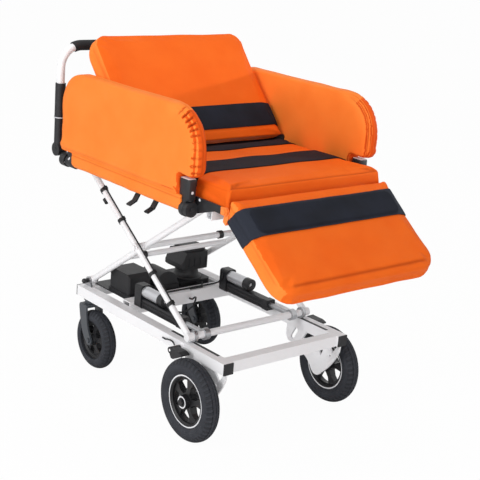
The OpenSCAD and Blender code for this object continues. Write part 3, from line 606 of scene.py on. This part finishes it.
def swell(jobs):
    """Blows up all cushions together. Each job is (object, axis, level, cap): the points below that
    level on the axis are pinned, and no point moves further than the cap."""
    starts = [coordinates(obj.data) for obj, *_ in jobs]
    for (obj, axis, level, _), start in zip(jobs, starts):
        pins = obj.vertex_groups.new(name="pins")
        pins.add([int(i) for i in np.nonzero(start[:, axis] < level)[0]], 1.0, "REPLACE")
        cloth = obj.modifiers.new("swell", "CLOTH").settings
        cloth.use_pressure = True
        cloth.uniform_pressure_force = PRESSURE
        cloth.effector_weights.gravity = 0.0
        cloth.vertex_group_mass = "pins"
        cloth.quality = 4
        cloth.mass = 0.35
        cloth.tension_stiffness = cloth.compression_stiffness = 18.0
        cloth.bending_stiffness = 2.0
    scene = bpy.context.scene
    for number in range(1, SIM_FRAMES + 1):
        scene.frame_set(number)
    for (obj, _, _, cap), start in zip(jobs, starts):
        after = evaluated_mesh(obj)
        moved = coordinates(after) - start
        reach = np.linalg.norm(moved, axis=1, keepdims=True)
        moved *= np.minimum(1.0, cap / np.maximum(reach, 1e-9))
        obj.modifiers.clear()
        obj.vertex_groups.clear()
        set_coordinates(obj.data, start + moved)
        most = float(np.linalg.norm(moved, axis=1).max())
        print(obj.name, "swelled by", round(most * 1000, 1), "mm")
    scene.frame_set(1)


def fit(obj, length, width):
    """Brings a swollen cushion back to the outline that its seams hold."""
    p = coordinates(obj.data)
    for axis, size in ((0, length), (1, width)):
        low, high = p[:, axis].min(), p[:, axis].max()
        p[:, axis] = (p[:, axis] - (low + high) / 2) * (size / (high - low))
    set_coordinates(obj.data, p)


def refine(obj):
    """One level of subdivision, made real so that seams can be pressed into it."""
    finer = obj.modifiers.new("finer", "SUBSURF")
    finer.levels = finer.render_levels = 1
    mesh = evaluated_mesh(obj)
    obj.modifiers.clear()
    obj.data = mesh


def ripple(points, scale, seed):
    """A smooth, fixed unevenness between about -1 and 1: a few crossed waves."""
    total = np.zeros(len(points))
    for k in range(5):
        a = 1.3 * k + seed
        heading = np.array([math.sin(2.1 * a), math.cos(3.7 * a), math.sin(5.3 * a + 1)])
        total += np.sin(points @ heading * (TURN / scale) * (0.7 + 0.23 * k) + 1.9 * a)
    return total / 3.2


def smooth(x, low, high):
    t = np.clip((x - low) / (high - low), 0, 1)
    return t * t * (3 - 2 * t)


def bell(x, centre, half):
    return np.exp(-((x - centre) / half) ** 2)


def press(obj, amount, seam):
    """Moves each point along its normal and stores how deep in a seam it lies."""
    mesh = obj.data
    set_coordinates(mesh, coordinates(mesh) + normals(mesh) * amount[:, None])
    store(mesh, "seam", seam)


def unwrap(mesh):
    """A box projection in metres: each face takes the two axes that it faces least."""
    points = coordinates(mesh)
    corner = np.empty(len(mesh.loops), np.int32)
    mesh.loops.foreach_get("vertex_index", corner)
    sizes = np.empty(len(mesh.polygons), np.int32)
    mesh.polygons.foreach_get("loop_total", sizes)
    axis = np.repeat(np.abs(face_normals(mesh)).argmax(1), sizes)
    pairs = np.array([[1, 2], [0, 2], [0, 1]])[axis]
    uv = np.take_along_axis(points[corner], pairs, 1)
    layer = mesh.uv_layers.new(name="cloth")
    layer.data.foreach_set("uv", uv.astype(np.float32).ravel())


def finish_soft(obj, place, body, material, node, band=None, sides=None):
    unwrap(obj.data)
    # a second material is a copy of the orange with light or shade painted in; sides picks its faces, by default
    # those turned to the side, which take the lighter copy with painted light
    if sides is None:
        sides = np.abs(face_normals(obj.data)[:, 1]) > 0.62
    obj.data.transform(place)
    if band:
        dress(obj.data, material, band)
        obj.data.polygons.foreach_set("material_index", sides.astype(np.int32))
    else:
        dress(obj.data, material)
    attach(obj, body)
    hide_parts(node)


# %% [markdown]
# ### The five cushions
# Seat, back and legrest lie on boards, so only their upper side swells. The side pads are stuffed
# on both faces and held along their hem. Each place matrix has X along the cushion. For the first
# three, Y is across the buggy and Z out of the face one sits on. On a pad, Y is up and Z to the
# right.

# %% Starting shapes
BACK_LEAN, LEG_DROP = math.radians(45.0), math.radians(37.5)
BACK_LENGTH, BACK_WIDTH, BACK_THICK = 0.412, 0.602, 0.070
BACK_FROM_HINGE, BACK_BOARD = -0.008, -0.038
LEG_LENGTH, LEG_WIDTH, LEG_THICK = 0.308, 0.620, 0.055
LEG_FROM_HINGE, LEG_BOARD = 0.002, -0.023
PAD_HEIGHT, PAD_THICK, PAD_RISE, PAD_FORWARD = 0.255, 0.054, 0.008, 0.021
NOTCH, POST_TOP, POST_ROOM = 0.078, 0.088, 0.011
# how much of each size is left for the air to fill
SEAT_PROUD, TUCK = 0.004, 0.003
SEAT_CROWN, BACK_CROWN, LEG_CROWN, PAD_CROWN = 0.007, 0.002, 0.004, 0.004

seat_low, seat_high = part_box("seat_cushion")
seat_size = seat_high - seat_low
seat_place = Matrix.Translation(((seat_low.x + seat_high.x + SEAT_PROUD) / 2, 0, seat_low.z))
back_axes = (Matrix.Translation(back_hinge) @ Matrix.Rotation(math.pi / 2 - BACK_LEAN, 4, "Y")
             @ Matrix.Rotation(math.pi, 4, "Z"))
back_place = back_axes @ Matrix.Translation((BACK_FROM_HINGE + BACK_LENGTH / 2, 0, BACK_BOARD))
leg_axes = Matrix.Translation(leg_hinge) @ Matrix.Rotation(LEG_DROP, 4, "Y")
leg_place = leg_axes @ Matrix.Translation((LEG_FROM_HINGE + LEG_LENGTH / 2, 0, LEG_BOARD))


def boxed(name, length, width, thick, radii, edge):
    return remeshed(name, block(length - 2 * TUCK, width - 2 * TUCK, thick, radii, edge))


seat = boxed("seat_pad", seat_size.x, seat_size.y, seat_size.z - SEAT_CROWN,
             (0.011, 0.024, 0.024, 0.011), 0.011)
back = boxed("back_pad", BACK_LENGTH, BACK_WIDTH, BACK_THICK - BACK_CROWN,
             (0.050, 0.006, 0.006, 0.050), 0.011)
leg = boxed("legrest_pad", LEG_LENGTH, LEG_WIDTH, LEG_THICK - LEG_CROWN,
            (0.060, 0.010, 0.010, 0.060), 0.013)

pads, pad_places, pad_lengths = {}, {}, {}
for side in SIDES:
    low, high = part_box("panel_pad_" + side)
    pad_lengths[side] = high.x + PAD_FORWARD - low.x
    middle = high.z + PAD_RISE - PAD_HEIGHT / 2
    a, b = pad_lengths[side] / 2 - TUCK, PAD_HEIGHT / 2 - TUCK
    # the front knuckle stands in a notch under the pad's front end
    ceiling = pivot["panel_%s_fold" % side].z + POST_TOP + POST_ROOM - middle
    ring = outline([(a, b, 0.118), (-a, b, 0.103), (-a, -b, 0.020), (a - NOTCH, -b, 0.008),
                    (a - NOTCH, ceiling, 0.008), (a, ceiling, 0.026)])
    pads[side] = remeshed("side_pad_" + side, slab(ring, PAD_THICK - PAD_CROWN, 0.009))
    centre = Vector(((low.x + high.x + PAD_FORWARD) / 2, (low.y + high.y) / 2, middle))
    upright = Matrix.Rotation(math.pi / 2, 4, "X")
    halfway = Matrix.Translation((0, 0, (PAD_CROWN - PAD_THICK) / 2))
    pad_places[side] = Matrix.Translation(centre) @ upright @ halfway

# %% Swelling
PAD_HEM = -PAD_HEIGHT / 2 + 0.012
swell([(seat, 2, 0.010, 0.007), (back, 2, 0.008, 0.007), (leg, 2, 0.007, 0.006),
       (pads["right"], 1, PAD_HEM, 0.005), (pads["left"], 1, PAD_HEM, 0.005)])
fit(seat, seat_size.x + SEAT_PROUD, seat_size.y)
fit(back, BACK_LENGTH, BACK_WIDTH)
fit(leg, LEG_LENGTH, LEG_WIDTH)
for side, pad in pads.items():
    fit(pad, pad_lengths[side], PAD_HEIGHT)
for soft in (seat, back, leg, *pads.values()):
    refine(soft)

# %% [markdown]
# ### Seams
# The cloth is sewn where panels meet. A seam pulls the skin in by a millimetre or two, and the
# cloth beside it stands up in a soft roll. These lines are pressed into the finished skin along its
# own normals.

# %% Seat, back and legrest seams
SEAM_DEPTH, SEAM_TONE = 0.0022, 0.8
SEAT_SEAM, BACK_SEAM, LEG_SEAM = 0.017, 0.016, 0.015
FRONT_EDGE_DEPTH = 0.0030
BACK_UPRIGHT, FACE_UPRIGHT, FACE_IN, BOARD_START, REAR_ROUND = 0.0488, 0.0645, 0.015, 0.008, 0.022
CUT_FROM, CUT_SLOPE, CUT_END = 0.018, 0.47, 0.095
LEAN_LENGTH, LEAN_BACK, LEAN_UP, SWING_ROOM = 0.070, 0.018, 0.007, 0.012
ROLL_FROM_END, ROLL_DEPTH = 0.028, 0.0034


def edge_seam(points, length, width, level):
    """The line round a boxed cushion where its top panel meets the side band."""
    beside = np.maximum(np.abs(points[:, 0]) - length / 2, np.abs(points[:, 1]) - width / 2)
    on_side = smooth(beside, -0.012, -0.003)
    return bell(points[:, 2], level, 0.0035) * on_side


p, n = coordinates(seat.data), normals(seat.data)
line = edge_seam(p, seat_size.x, seat_size.y, seat_size.z - SEAT_SEAM)
line = line * (1 - smooth(n[:, 0], 0.5, 0.8))
front_edge = bell(n[:, 0] - n[:, 2], 0.0, 0.30) * smooth(n[:, 0] + n[:, 2], 1.10, 1.35)
press(seat, -SEAM_DEPTH * line - FRONT_EDGE_DEPTH * front_edge + 0.0010 * ripple(p, 0.17, 1.0),
      SEAM_TONE * line + 0.75 * front_edge)

# the back stands a little more upright than its board, its lower end is cut level with the seat,
# and its upper rear edge is rounded off
p = coordinates(back.data)
along = p[:, 0] + BACK_LENGTH / 2 + BACK_FROM_HINGE
face = np.clip(p[:, 2] / BACK_THICK, 0, 1)
rear = BACK_UPRIGHT * np.maximum(along - BOARD_START, 0) + REAR_ROUND * smooth(along, 0.335, 0.402)
p[:, 2] += face * (FACE_UPRIGHT * along - FACE_IN)
p[:, 2] += (1 - face) * rear
below = np.maximum(CUT_FROM - p[:, 2] - BACK_BOARD, 0)
p[:, 0] += CUT_SLOPE * below * (1 - smooth(along, BACK_FROM_HINGE, CUT_END))
set_coordinates(back.data, p)
line = edge_seam(p, BACK_LENGTH, BACK_WIDTH, BACK_THICK - BACK_SEAM)
press(back, -SEAM_DEPTH * line + 0.0012 * ripple(p, 0.22, 2.0), SEAM_TONE * line)

# the legrest's upper end leans back over the hinge, so that its face meets the seat, and its
# underside leaves room to swing
p = coordinates(leg.data)
upper = 1 - smooth(p[:, 0] + LEG_LENGTH / 2, 0.0, LEAN_LENGTH)
raised = smooth(p[:, 2], 0.012, LEG_THICK - 0.010)
p[:, 0] += upper * (SWING_ROOM * (1 - raised) - LEAN_BACK * raised)
p[:, 2] += LEAN_UP * upper * raised
set_coordinates(leg.data, p)
n = normals(leg.data)
line = 0.7 * edge_seam(p, LEG_LENGTH, LEG_WIDTH, LEG_THICK - LEG_SEAM)
line = line * (1 - smooth(n[:, 0], 0.2, 0.6))
inner = smooth(LEG_WIDTH / 2 - np.abs(p[:, 1]), 0.03, 0.07)
roll = bell(p[:, 0], LEG_LENGTH / 2 - ROLL_FROM_END, 0.0045) * smooth(n[:, 2], 0.3, 0.9) * inner
press(leg, -SEAM_DEPTH * line - ROLL_DEPTH * roll + 0.0009 * ripple(p, 0.15, 3.0),
      SEAM_TONE * line + 0.7 * roll)

# %% [markdown]
# ### Gathers on the side pads
# The front of a side pad is half round. At the curved corner the face panel is too long for the
# band that it is sewn to, so it is drawn up in short pleats. They run square to the edge and fade
# out down the front. The pleats are also darkened in colour, which is painted shade in their folds.

# %% Side pad seams and gathers
STROKES, STROKE_FIRST, STROKE_PITCH, STROKE_HALF = 11, 0.022, 0.0225, 0.0031
STROKE_REACH, STROKE_FADE, STROKE_WEAK_FROM = 0.021, 0.007, 0.15
GATHER_DEPTH, BAND_DEPTH, HEM_DEPTH, INNER_DEPTH = 0.0055, 0.0016, 0.0010, 0.0012
CORNER_RADIUS = 0.112
NOSE = 0.037
BAND_FROM = 0.045


def along_edge(p):
    """How far round the front a point lies, from the start of the curve, how far inside the edge it
    is, and which way is out."""
    corner = p[:, :2].max(0) - CORNER_RADIUS
    a, b = (p[:, :2] - corner).T
    out = np.stack([np.maximum(a, 0), np.maximum(b, 0)], 1)
    reach = np.linalg.norm(out, axis=1)
    arc = np.where((a > 0) & (b > 0), np.arctan2(a, b) * CORNER_RADIUS,
                   np.where(b > 0, a, CORNER_RADIUS * math.pi / 2 - b))
    return arc, CORNER_RADIUS - reach, out / np.maximum(reach, 1e-9)[:, None]


def round_front(obj):
    """Turns the square front of a pad into a half round."""
    p = coordinates(obj.data)
    arc, inside, out = along_edge(p)
    middle, thick = (p[:, 2].min() + p[:, 2].max()) / 2, PAD_THICK / 2
    a, b = np.clip(1 - inside / NOSE, 0, 1), (p[:, 2] - middle) / thick
    share = np.maximum(a, np.abs(b)) / np.maximum(np.hypot(a, b), 1e-6)
    share = 1 + (share - 1) * smooth(arc, -0.05, 0.03) * (a > 0)
    p[:, 2] = middle + (p[:, 2] - middle) * share
    p[:, :2] -= out * (NOSE * a * (1 - share))[:, None]
    set_coordinates(obj.data, p)


def pad_details(obj, outward, drawn):
    """outward is +1 where local Z points away from the occupant, else -1. drawn is the pull of the
    gathers, and also how much their pleats are darkened as painted shade. Gives back which faces
    belong to the front band, which takes the darker orange with painted shade."""
    round_front(obj)
    p, n = coordinates(obj.data), normals(obj.data)
    arc, inside, _ = along_edge(p)
    z = (p[:, 2] - p[:, 2].mean()) * outward
    front = smooth(arc, -0.02, 0.03)
    gather = np.zeros(len(p))
    for k in range(STROKES):
        at = STROKE_FIRST + STROKE_PITCH * k + 0.005 * math.sin(12.9 * k + 1.7)
        strength = (1.0 if at < STROKE_WEAK_FROM else 0.5) * (0.8 + 0.3 * math.sin(7.1 * k))
        lean = 0.16 * math.sin(5.3 * k + 0.6)
        reach = STROKE_REACH + 0.004 * math.sin(3.1 * k)
        stroke = smooth(z, 0.003, 0.008) * (1 - smooth(inside, reach, reach + STROKE_FADE))
        gather += strength * stroke * bell(arc + lean * z, at, STROKE_HALF)
    near_edge = smooth(0.03 - inside, 0.0, 0.02)
    soft = bell(z, PAD_THICK * 0.25, 0.016) * smooth(arc, 0.12, 0.2) * near_edge
    soft = soft * ripple(p * np.array([1.0, 1.0, 0.35]), 0.055, 8.0)
    band = bell(z, 0.002, 0.0022) * (1 - smooth(inside, 0.005, 0.012)) * (0.3 + 0.7 * front)
    inner_edge = bell(-n[:, 2] * outward - np.hypot(n[:, 0], n[:, 1]), 0.0, 0.28) * front
    hem = bell(p[:, 1], p[:, 1].min() + 0.012, 0.003) * smooth(np.abs(z), 0.010, 0.018)
    puff = 0.0012 * ripple(p, 0.20, 4.0 + outward) + 0.0016 * soft
    # the gathers are stored with the seams, so their pleats are darkened: painted shade in the folds
    press(obj, puff - GATHER_DEPTH * drawn * gather - BAND_DEPTH * band - HEM_DEPTH * hem
          - INNER_DEPTH * inner_edge,
          1.25 * drawn * gather + 0.4 * band + 0.25 * hem + 0.5 * inner_edge)
    arc, _, _ = along_edge(vectors(obj.data.polygons, "center"))
    # the faces of the front band take the darker orange with painted shade
    return (np.abs(face_normals(obj.data)[:, 2]) < 0.80) & (arc > BAND_FROM)


painted_shade_band = {"right": pad_details(pads["right"], 1, 1.0),
              "left": pad_details(pads["left"], -1, 0.4)}

# %% [markdown]
# ### Skirts
# Under each pad a sleeve of the same cloth wraps the hinge tube. It is a strip with a round lower
# side, swept along the tube. It stops short at both ends: a moulded sleeve covers the tube at the
# rear, and the post of the front knuckle stands at the other end, under the pad's notch.

# %% Skirts
OVERLAP, SKIRT_GAP, SKIRT_ROUND, SKIRT_VOXEL = 0.006, 0.0005, 0.0210, 0.005
SKIRT, SKIRT_WIDTH = 0.046, 0.046
SKIRT_FROM, SKIRT_TO = axle_x - 0.584, axle_x - 0.013
SLEEVE_FROM, SLEEVE_RADIUS = axle_x - 0.6275, 0.0190
TAB_HALF, TAB_TOP = 0.013, 0.042
SLEEVE_SCREW_X, SLEEVE_SCREW_UP, SLEEVE_SCREW_RADIUS = axle_x - 0.606, 0.0115, 0.0042
KNUCKLE_BACK, KNUCKLE_RADIUS = 0.044, 0.0240
KNUCKLE_FROM, KNUCKLE_FACE = axle_x - 0.018, axle_x - 0.0006
POST_FROM, POST_FRONT = axle_x - 0.029, axle_x + 0.014
POST_HALF, POST_STEP, POST_HEAD_FROM = 0.015, 0.034, 0.0245
BOLT_UP, BOLT_RADIUS = 0.048, 0.0046


def rounded_box(bm, low, high, edge):
    sized = Matrix.Translation((low + high) / 2) @ Matrix.Diagonal((*(high - low), 1.0))
    made = bmesh.ops.create_cube(bm, size=1.0, matrix=sized)["verts"]
    bevel(bm, list({e for v in made for e in v.link_edges}), edge, 3)


def drum(bm, x_low, x_high, hinge, radius):
    middle = Matrix.Translation(((x_low + x_high) / 2, hinge.y, hinge.z))
    made = bmesh.ops.create_cone(
        bm, cap_ends=True, segments=40, radius1=radius, radius2=radius, depth=x_high - x_low,
        matrix=middle @ Matrix.Rotation(math.pi / 2, 4, "Y"))["verts"]
    rims = {e for v in made for e in v.link_edges if any(len(f.verts) > 4 for f in e.link_faces)}
    bevel(bm, list(rims), 0.0028, 3)


def moulding(name, bm, body, material):
    made = link(name, mesh_from(name, bm))
    dress(made.data, material)
    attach(made, body)


def span_x(edge):
    return abs(edge.verts[0].co.x - edge.verts[1].co.x)


for side in SIDES:
    low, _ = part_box("panel_pad_" + side)
    hinge = pivot["panel_%s_fold" % side]
    bm = bmesh.new()
    sized = Matrix.Diagonal((SKIRT_TO - SKIRT_FROM, SKIRT_WIDTH, SKIRT + OVERLAP, 1.0))
    bmesh.ops.create_cube(bm, size=1.0, matrix=Matrix.Translation((0, 0, OVERLAP / 2)) @ sized)
    lower = [e for e in bm.edges if all(v.co.z < 0 for v in e.verts) and span_x(e) > 0.1]
    bevel(bm, lower, SKIRT_ROUND, 8)
    bevel(bm, [e for e in bm.edges if span_x(e) < 1e-4], 0.0025, 2)
    skirt = remeshed("skirt_" + side, bm, SKIRT_VOXEL)
    refine(skirt)
    p = coordinates(skirt.data)
    hem = bell(p[:, 2], SKIRT / 2 - 0.004, 0.002)
    press(skirt, 0.0009 * ripple(p, 0.12, 6.0) - 0.0012 * hem, 0.6 * hem)
    centre = ((SKIRT_FROM + SKIRT_TO) / 2, hinge.y, low.z + SKIRT_GAP + SKIRT / 2)
    # the skirt is all in the lighter orange with painted light
    finish_soft(skirt, Matrix.Translation(centre), "panel_" + side, orange_painted_light,
                "panel_pad_" + side)

    bm = bmesh.new()
    drum(bm, SLEEVE_FROM, SKIRT_FROM + 0.004, hinge, SLEEVE_RADIUS)
    rounded_box(bm, Vector((SLEEVE_FROM + 0.005, hinge.y - TAB_HALF, hinge.z)),
                Vector((SKIRT_FROM + 0.010, hinge.y + TAB_HALF, hinge.z + TAB_TOP)), 0.005)
    screw, outer = Vector((SLEEVE_SCREW_X, 0, hinge.z + SLEEVE_SCREW_UP)), abs(hinge.y)
    finish = moulded("sleeve_" + side, MOULDING, SCUFF, 0.36, marks=[
        (BOLT_HEAD_AND_HIGHLIGHT, [((0, 2), screw, SLEEVE_SCREW_RADIUS), (1, outer + 0.006, outer + 0.03)])])
    moulding("knuckle_sleeve_" + side, bm, "panel_" + side, finish)

    bm = bmesh.new()
    drum(bm, KNUCKLE_FROM, KNUCKLE_FACE, hinge, KNUCKLE_RADIUS)
    rounded_box(bm, Vector((POST_FROM, hinge.y - POST_HALF, hinge.z)),
                Vector((KNUCKLE_FACE, hinge.y + POST_HALF, hinge.z + POST_STEP)), 0.003)
    rounded_box(bm, Vector((POST_FROM, hinge.y - POST_HALF, hinge.z + POST_HEAD_FROM)),
                Vector((POST_FRONT, hinge.y + POST_HALF, hinge.z + POST_TOP)), 0.006)
    bolt, top = hinge + Vector((0, 0, BOLT_UP)), hinge.z + POST_TOP
    # the bolt is a bright head with a painted glint, and the bright strip along the top of the post is a painted
    # highlight
    finish = moulded("post_" + side, MOULDING, SCUFF, 0.36, marks=[
        (BOLT_HEAD_AND_HIGHLIGHT, [((1, 2), bolt, BOLT_RADIUS), (0, POST_FRONT - 0.002, POST_FRONT + 0.01)]),
        (BOLT_HEAD_AND_HIGHLIGHT, [(2, top - 0.0022, top + 0.01)])])
    moulding("knuckle_post_" + side, bm, "panel_" + side, finish)

finish_soft(seat, seat_place, "seat", orange, "seat_cushion")
# back and legrest take the lighter orange with painted light on their faces turned to the side
finish_soft(back, back_place, "back", orange, "back_cushion", orange_painted_light)
finish_soft(leg, leg_place, "legrest", orange, "legrest_cushion", orange_painted_light)
# the side pads are in the lighter orange with painted light, and their front bands in the darker orange with
# painted shade
for side in pads:
    finish_soft(pads[side], pad_places[side], "panel_" + side, orange_painted_light, "panel_pad_" + side,
                orange_painted_shade, painted_shade_band[side])

# %% [markdown]
# ### Parts in a new shape
# A few hard parts are shaped once more to go with their covers. Each is its CAD solid again, in a
# changed copy. The shells behind the cushions stop short of the rounded ends, and the back's leans
# with its cushion. The front knuckles stand further back on the hinge line, and the plate that
# carries them is a long arm.

# %% Parts in a new shape
BACK_SHELL_END, BACK_SHELL_CUT = 0.300, 0.64
LEG_SHELL_END, LEG_SHELL_CUT = 0.180, 0.50
PLATE_INSIDE, PLATE_OUTSIDE = 0.3100, 0.3172
FRONT_FROM, KNUCKLE_TO, PLATE_TO, ARM_FROM = 0.020, 0.0634, 0.105, 0.080
ARM_TOP, ARM_BOTTOM = 0.034, 0.013
knuckle_z = pivot["panel_right_fold"].z


def copy_of(node, body, change, axes=Matrix.Identity(4)):
    made = link(node + "_shaped", nodes[node].data.copy())
    made.data.transform(axes.inverted())
    p = coordinates(made.data)
    change(p)
    set_coordinates(made.data, p)
    made.data.transform(axes)
    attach(made, body)
    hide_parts(node)


def back_shell(p):
    p[:, 0] -= np.maximum(p[:, 0] - BACK_SHELL_END, 0) * BACK_SHELL_CUT
    p[:, 2] += BACK_UPRIGHT * np.maximum(p[:, 0] - BOARD_START, 0)


def leg_shell(p):
    p[:, 0] -= np.maximum(p[:, 0] - LEG_SHELL_END, 0) * LEG_SHELL_CUT


def shorter_tube(p):
    p[:, 0] -= np.where(p[:, 0] > axle_x + FRONT_FROM, KNUCKLE_BACK, 0)


def long_arm(p):
    x, height, beside = p[:, 0] - axle_x, p[:, 2] - knuckle_z, np.abs(p[:, 1])
    front = (beside > PLATE_INSIDE) & (x > FRONT_FROM)
    plate = front & (beside < PLATE_OUTSIDE) & (x < PLATE_TO)
    p[:, 0] -= np.where(front & (x < KNUCKLE_TO), KNUCKLE_BACK, 0)
    raised = np.maximum(p[:, 2], knuckle_z + ARM_TOP)
    p[:, 2] = np.where(plate & (height > 0.012), raised, p[:, 2])
    lower = plate & (x > ARM_FROM) & (height < -0.010)
    p[:, 2] = np.where(lower, knuckle_z + ARM_BOTTOM, p[:, 2])


copy_of("back_frame", "back", back_shell, back_axes)
copy_of("legrest_frame", "legrest", leg_shell, leg_axes)
copy_of("panel_frame_right", "panel_right", shorter_tube)
copy_of("panel_frame_left", "panel_left", shorter_tube)
copy_of("hinge_plates", "seat", long_arm)

# %% [markdown]
# ## Straps
# Each strap is a band of the cushion's own skin: two cuts take it out, and it is lifted off and
# given its thickness. So it follows the crown and turns down the sides exactly as webbing pulled
# tight does. The calf strap has a raised pad with rounded corners.

# %% Straps
SEAT_REAR_STRAP, SEAT_FRONT_STRAP = (-0.010, 0.095), (0.201, 0.311)
BACK_STRAP, CALF_STRAP = (0.036, 0.120), (0.025, 0.117)
WEB_THICK, WEB_PUFF, PADDED_PUFF = 0.0022, 0.0006, 0.0014
LIFT, STRAP_END = 0.0007, 0.010
CORNER, PAD_LIFT, PAD_MARGIN = 0.024, 0.0046, 0.005
CALF_PAD_HALF = LEG_WIDTH / 2 - 0.036


def past_pad(x, y, half, pad_half):
    """How far a point lies from the inner rectangle of a pad with rounded corners."""
    return np.hypot(np.maximum(np.abs(y) - pad_half + CORNER, 0),
                    np.maximum(np.abs(x) - half + PAD_MARGIN + CORNER, 0))


def skin_between(cushion, place, start, end):
    """The skin of a cushion between two cuts across it, without the underside."""
    bm = bmesh.new()
    bm.from_mesh(cushion.data)
    bm.transform(place.inverted())
    for at, keep in ((start, 1), (end, -1)):
        bmesh.ops.bisect_plane(bm, geom=bm.verts[:] + bm.edges[:] + bm.faces[:],
                               plane_co=(at, 0, 0), plane_no=(-keep, 0, 0), clear_outer=True)
    bm.normal_update()
    under = [f for f in bm.faces if f.normal.z < -0.2 or f.calc_center_median().z < STRAP_END]
    bmesh.ops.delete(bm, geom=under, context="FACES")
    bm.normal_update()
    return bm


def strap(name, cushion, place, zero, span, thick, puff, node, material, body, pad_half=None):
    """span is from the seat's rear end or from the hinge, and the cushion's middle lies zero past
    that. pad_half is half the length of a raised pad."""
    start, end = (at - zero for at in span)
    bm = skin_between(cushion, place, start, end)
    middle, half = (start + end) / 2, (end - start) / 2
    hem = [e for e in bm.edges if all(abs(v.co.x - end) < 1e-5 for v in e.verts)]
    across = sum(e.calc_length() for e in hem)
    for v in bm.verts:
        u = (v.co.x - middle) / half
        lift = LIFT + puff * max(0.0, 1 - u ** 4)
        if pad_half:
            past = past_pad(v.co.x - middle, v.co.y, half, pad_half)
            lift += PAD_LIFT * float(smooth(CORNER - past, -0.001, 0.004))
        v.co += v.normal * lift
    cut_area = sum(f.calc_area() for f in bm.faces)
    bmesh.ops.solidify(bm, geom=bm.faces[:], thickness=-thick)
    bmesh.ops.recalc_face_normals(bm, faces=bm.faces[:])
    piece = link(name, mesh_from(name, bm))
    p = coordinates(piece.data)
    u = np.abs((p[:, 0] - middle) / half)
    stitch = bell(u, 1 - 0.004 / half, 0.0016 / half)
    if pad_half:
        past = past_pad(p[:, 0] - middle, p[:, 1], half, pad_half)
        stitch = stitch + bell(past, CORNER + 0.001, 0.0022)
        store(piece.data, "bare", smooth(past, CORNER + 0.001, CORNER + 0.003))
    store(piece.data, "seam", stitch)
    unwrap(piece.data)
    piece.data.transform(place)
    dress(piece.data, material)
    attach(piece, body)
    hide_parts(node)
    if material is padded_strap:
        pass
    else:
        cut_area / across
    print(name, round(cut_area / across, 3), "by", round(across, 3), "m of webbing")


for name, span in (("strap_seat_rear", SEAT_REAR_STRAP), ("strap_seat_front", SEAT_FRONT_STRAP)):
    strap(name, seat, seat_place, seat_size.x / 2, span, WEB_THICK, WEB_PUFF,
          "seat_straps", webbing, "seat")
strap("strap_back", back, back_place, BACK_FROM_HINGE + BACK_LENGTH / 2, BACK_STRAP, 0.0024,
      PADDED_PUFF, "back_strap", padded_strap, "back")
strap("strap_calf", leg, leg_place, LEG_FROM_HINGE + LEG_LENGTH / 2, CALF_STRAP, 0.0026,
      PADDED_PUFF, "calf_strap", padded_strap, "legrest", CALF_PAD_HALF)

# %% [markdown]
# ## Studio
# A pale floor with the object's soft shadow, a bright room, four large soft lamps and a narrow spot
# on the far side. The floor adds a little white of its own for the camera alone, so the picture has
# a white ground without more light on the buggy.

# %% Studio
FLOOR_SIZE, FLOOR_GREY, FLOOR_GLOW = 40.0, 0.86, 0.97
ROOM_LIGHT = 0.49

bm = bmesh.new()
bmesh.ops.create_grid(bm, x_segments=1, y_segments=1, size=FLOOR_SIZE / 2)
floor = link("floor", mesh_from("floor", bm))
pale = Finish("pale_floor", Roughness=0.9, Specular_IOR_Level=0.0)
pale.colour((FLOOR_GREY, FLOOR_GREY, FLOOR_GREY, 1.0))
glow = pale.node("Emission", {}, {"Color": (1, 1, 1, 1), "Strength": 1.0})
rays = pale.node("LightPath")
seen = Value(pale, rays.socket.node.outputs["Is Camera Ray"])
both = pale.node("MixShader", {}, {0: seen * FLOOR_GLOW, 1: Value(pale, pale.shader.outputs[0]),
                                   2: glow})
pale.feed(pale.tree.nodes["Material Output"].inputs["Surface"], both)
floor.data.materials.append(pale.material)
floor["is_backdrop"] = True

world = bpy.data.worlds.new("room")
world.use_nodes = True
bpy.context.scene.world = world
room = world.node_tree
path = room.nodes.new("ShaderNodeLightPath")
sky = room.nodes["Background"]
sky.inputs["Color"].default_value = (1, 1, 1, 1)
most = path.outputs["Is Camera Ray"]
for ray in ("Is Glossy Ray", "Is Transmission Ray"):
    larger = room.nodes.new("ShaderNodeMath")
    larger.operation = "MAXIMUM"
    room.links.new(most, larger.inputs[0])
    room.links.new(path.outputs[ray], larger.inputs[1])
    most = larger.outputs[0]
strength = room.nodes.new("ShaderNodeMapRange")
strength.inputs["To Min"].default_value = ROOM_LIGHT
strength.inputs["To Max"].default_value = 1.0
room.links.new(most, strength.inputs["Value"])
room.links.new(strength.outputs[0], sky.inputs["Strength"])


def lamp(name, kind, where, aim, watts, **settings):
    light = bpy.data.lights.new(name, kind)
    light.energy = watts
    for key, value in settings.items():
        setattr(light, key, value)
    made = link(name, light)
    made.location = where
    made.rotation_euler = (Vector(aim) - Vector(where)).to_track_quat("-Z", "Y").to_euler()


for name, where, aim, size, watts in (
        ("key", (0.2, -4.2, 2.2), (0, 0, 0.7), 2.4, 93.0),
        ("top", (-0.2, 0.2, 4.4), (0, 0, 0.6), 2.6, 34.0),
        ("fill", (3.4, -0.9, 0.45), (0, 0, 0.25), 1.6, 26.0),
        ("front", (3.0, -2.6, 2.5), (0.1, 0.1, 0.75), 2.2, 14.0)):
    lamp(name, "AREA", where, aim, watts, shape="DISK", size=size)
lamp("side", "SPOT", (2.2, 3.9, 1.52), (-0.28, 0, 1.02), 300.0, shadow_soft_size=0.10,
     spot_size=math.radians(17.0), spot_blend=1.0)
bpy.context.scene.view_settings.view_transform = "Standard"

# %% Finish
low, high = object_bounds()
